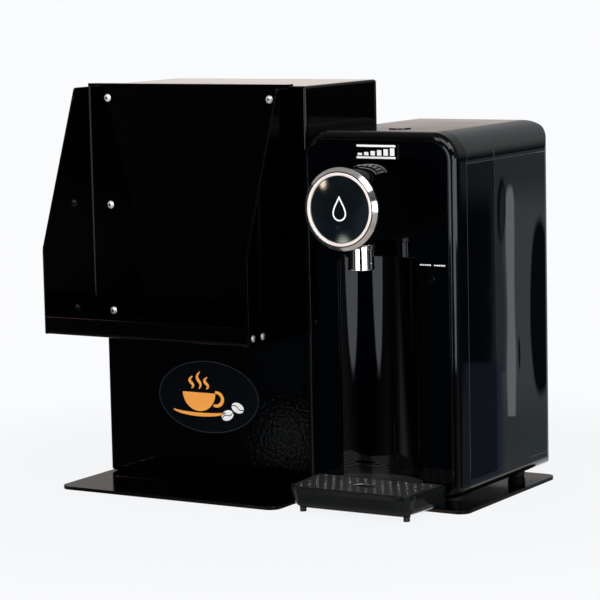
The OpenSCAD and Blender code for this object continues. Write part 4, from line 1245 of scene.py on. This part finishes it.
@dataclass
class Studio:
    """The pale floor, the surround and the lamps.

    The cards are grouped by place or by the surface that shows them. A later card covers an
    earlier one.
    """

    floor_r: float = 0.62
    floor_steps: int = 96
    floor_grey: Colour = (0.8, 0.8, 0.8)
    shade_edge: Point = (0.3, 0.589)
    shade_part: float = 0.1
    fill: float = 0.55
    pale: Colour = (0.957, 0.965, 0.982)
    dark: Colour = (0.005, 0.0058, 0.007)
    walls: tuple[Card, ...] = (
        Card((0.0, 85.0), (60.0, 24.0), 12.0, (0.3, 0.3, 0.31)),
        Card((-90.0, 28.0), (45.0, 16.0), 8.0, Tone.WALL),
        Card((100.0, 28.0), (36.0, 16.0), 8.0, Tone.WALL),
        Card((-85.0, -25.0), (40.0, 12.0), 2.0, Tone.GROUND),
        Card((106.0, -26.0), (30.0, 12.0), 3.0, Tone.GROUND),
        Card((197.0, -22.0), (36.0, 13.0), 4.0, Tone.GROUND),
        Card((15.0, -26.0), (58.0, 11.0), 4.0, (0.38, 0.38, 0.38)),
        Card((31.0, -75.0), (50.0, 40.0), 15.0, (0.42, 0.39, 0.37)),
        Card((190.0, 30.0), (46.0, 18.0), 9.0, (0.42, 0.43, 0.44)),
    )
    back_wall: tuple[Card, ...] = (
        Card((211.0, 6.5), (34.0, 6.0), 2.5, (0.42, 0.385, 0.365)),
        Card((211.0, 1.0), (34.0, 2.4), 0.35, (1.0, 0.9, 0.86)),
        Card((188.0, -6.0), (26.0, 5.0), 0.8, (0.4, 0.46, 0.5)),
        Card((-76.0, 58.0), (26.0, 18.0), 12.0, (0.3, 0.28, 0.26)),
    )
    front_lights: tuple[Card, ...] = (
        Card((-2.0, 48.0), (16.0, 13.0), 3.0, Tone.STRIP),
        Card((58.0, 48.0), (20.0, 13.0), 3.0, Tone.STRIP),
        Card((-1.5, 2.5), (16.0, 8.5), 0.2, Tone.WINDOW),
        Card((-2.0, -6.0), (10.0, 2.8), 0.2, Tone.WINDOW, oval=True),
        Card((58.5, 2.5), (20.0, 8.5), 0.2, Tone.WINDOW),
        Card((47.0, -6.0), (12.0, 2.8), 0.2, Tone.WINDOW, oval=True),
    )
    knob_spots: tuple[Card, ...] = (
        Card((-31.0, -10.0), (9.0, 8.0), 5.0, (0.02, 0.035, 0.04), oval=True),
        Card((-36.0, 1.5), (1.0, 1.2), 0.6, (64.0, 39.0, 25.0), oval=True),
        Card((-30.0, -15.5), (2.0, 2.4), 1.4, (12.0, 9.0, 7.0), oval=True),
    )
    cabinet_glints: tuple[Card, ...] = (
        Card((-31.4, -8.6), (0.4, 0.4), 0.15, (0.12, 0.17, 0.24)),
        Card((-31.4, -10.25), (0.36, 0.42), 0.15, (1.0, 1.05, 1.1)),
    )
    tank_side: tuple[Card, ...] = (
        Card((155.1, -8.0), (2.0, 5.0), 0.03, (0.3, 0.34, 0.36)),
        Card((153.9, -4.5), (1.6, 0.6), 0.5, (0.16, 0.185, 0.2)),
        Card((153.9, -10.3), (1.6, 0.8), 0.7, (0.2, 0.24, 0.26)),
        Card((153.24, -6.3), (0.12, 2.6), 0.04, (0.15, 0.18, 0.2)),
        Card((152.85, -10.0), (0.42, 1.3), 0.08, (0.1, 0.13, 0.2)),
        Card((153.47, -7.5), (0.07, 2.35), 0.02, Tone.STREAK),
        Card((153.47, -5.2), (0.068, 0.3), 0.02, Tone.STREAK, oval=True),
        Card((154.11, -7.5), (0.23, 1.9), 0.02, Tone.GLOOM, oval=True),
        Card((153.31, -5.4), (0.08, 0.68), 0.01, Tone.GLOOM, oval=True),
        Card((153.33, -5.48), (0.05, 0.6), 0.02, (0.1, 0.12, 0.13), oval=True),
        Card((153.63, -8.5), (0.03, 0.35), 0.008, (0.03, 0.034, 0.04), oval=True),
        Card((153.9, -12.1), (1.5, 0.75), 0.05, (0.36, 0.39, 0.41)),
    )
    boxes: tuple[Softbox, ...] = (
        Softbox(
            "key_left", azimuth=0.5, distance=1.9, width=1.2, low=-0.7, high=1.5,
            radiance=3.0, tint=(0.97, 0.98, 1.0)),
        Softbox(
            "key_right", azimuth=60.0, distance=1.9, width=1.4, low=-0.7, high=1.5,
            radiance=2.8, tint=(0.95, 0.98, 1.0)),
    )

    def floor(self) -> bpy.types.Object:
        """Lay a round pale floor whose edge melts into the surround.

        Returns:
            The floor.
        """
        middle = (CAD_BOX[0] + CAD_BOX[1]) / 2
        drawn = bmesh.new()
        bmesh.ops.create_circle(
            drawn, cap_ends=True, segments=self.floor_steps, radius=self.floor_r)
        mesh = bpy.data.meshes.new("floor")
        drawn.to_mesh(mesh)
        drawn.free()
        made = bpy.data.objects.new("floor", mesh)
        made.location = (middle.x, middle.y, 0.0)
        bpy.context.scene.collection.objects.link(made)
        paint = bpy.data.materials.new("pale_floor")
        paint.use_nodes = True
        g = Graph(paint.node_tree)
        here = g.node("ShaderNodeTexCoord", out="Object")
        away = g.node("ShaderNodeVectorMath", {"operation": "LENGTH"}, {0: here}, out="Value")
        plain = 1 - self.shade_part * (1 - away.step(*self.shade_edge))
        matt = g.node("ShaderNodeBsdfDiffuse", {}, {"Color": self.floor_grey})
        through = g.node("ShaderNodeBsdfTransparent", {}, {"Color": (1.0, 1.0, 1.0)})
        glow = g.node("ShaderNodeEmission", {}, {"Color": self.pale, "Strength": 1.0})
        lit = g.node("ShaderNodeMixShader", {}, {0: g.ray(Ray.GLOSSY), 1: matt, 2: through})
        both = g.node("ShaderNodeMixShader", {}, {0: self.clear(g) * plain, 1: lit, 2: glow})
        g.node("ShaderNodeOutputMaterial", {}, {"Surface": both})
        mesh.materials.append(paint)
        return made

    @staticmethod
    def clear(g: Graph) -> Wire:
        """Return 1 for rays that come straight from the camera or through glass."""
        return g.ray(Ray.CAMERA).larger(g.ray(Ray.THROUGH))

    def surround(self) -> None:
        """Paint the surround: white to the camera, and a room of pale and dark walls to gloss."""
        world = bpy.data.worlds.new("studio")
        world.use_nodes = True
        bpy.context.scene.world = world
        g = Graph(world.node_tree)
        room: Value = self.dark
        cards = (
            self.walls, self.back_wall, self.front_lights,
            self.knob_spots, self.cabinet_glints, self.tank_side,
        )
        for card in chain(*cards):
            room = g.blend(card.mask(g), room, card.colour)
        gloss = g.node("ShaderNodeBackground", {}, {"Color": room, "Strength": 1.0})
        plain: Sockets = {"Color": (1.0, 1.0, 1.0), "Strength": self.fill}
        soft = g.node("ShaderNodeBackground", {}, plain)
        white = g.node("ShaderNodeBackground", {}, {"Color": self.pale, "Strength": 1.0})
        lit = g.node("ShaderNodeMixShader", {}, {0: g.ray(Ray.GLOSSY), 1: soft, 2: gloss})
        both = g.node("ShaderNodeMixShader", {}, {0: self.clear(g), 1: lit, 2: white})
        g.node("ShaderNodeOutputWorld", {}, {"Surface": both})

    def build(self) -> None:
        """Set up the floor, the surround and the lamps."""
        self.floor()
        self.surround()
        middle = (CAD_BOX[0] + CAD_BOX[1]) / 2
        for box in self.boxes:
            box.stand(middle)
            LOG.info("studio: %s", box.name)
        bpy.context.scene.view_settings.view_transform = "Standard"


@dataclass
class PhotoCamera:
    """The camera at the photograph's place, in metres and radians."""

    at: tuple[float, float, float] = (1.2119, -1.9782, 0.4674)
    yaw: float = 0.543
    pitch: float = 0.127
    roll: float = -0.021
    lens: float = 158.94
    sensor: float = 36.0

    def stand(self) -> bpy.types.Object:
        """Put the camera in place and make it the scene's own.

        Returns:
            The camera.
        """
        data = bpy.data.cameras.new("photo_camera")
        data.lens = self.lens
        data.sensor_width = self.sensor
        data.sensor_fit = "HORIZONTAL"
        made = bpy.data.objects.new("photo_camera", data)
        look = Vector((
            -math.sin(self.yaw) * math.cos(self.pitch),
            math.cos(self.yaw) * math.cos(self.pitch),
            -math.sin(self.pitch),
        ))
        level = Vector((math.cos(self.yaw), math.sin(self.yaw), 0.0))
        upright = level.cross(look)
        right = math.cos(self.roll) * level + math.sin(self.roll) * upright
        up = math.cos(self.roll) * upright - math.sin(self.roll) * level
        turn = Matrix((right, up, -look)).transposed().to_4x4()
        made.matrix_world = Matrix.Translation(Vector(self.at)) @ turn
        bpy.context.scene.collection.objects.link(made)
        bpy.context.scene.camera = made
        return made


def main() -> None:
    """Set the camera and the studio, then dress each group in turn."""
    logging.basicConfig(level=logging.INFO, format="%(name)s: %(message)s")
    PhotoCamera().stand()
    Studio().build()
    groups = (
        BaseStand(), CupCabinet(), CupRack(), DispenserBody(), SelectorKnob(),
        Keys(), WaterTank(), DripTray(), WaterWorks(),
    )
    for group in groups:
        group.dress()
        for piece in group.build():
            LOG.info("%s: %s", group.title, piece.name)


if __name__ == "__main__":
    main()
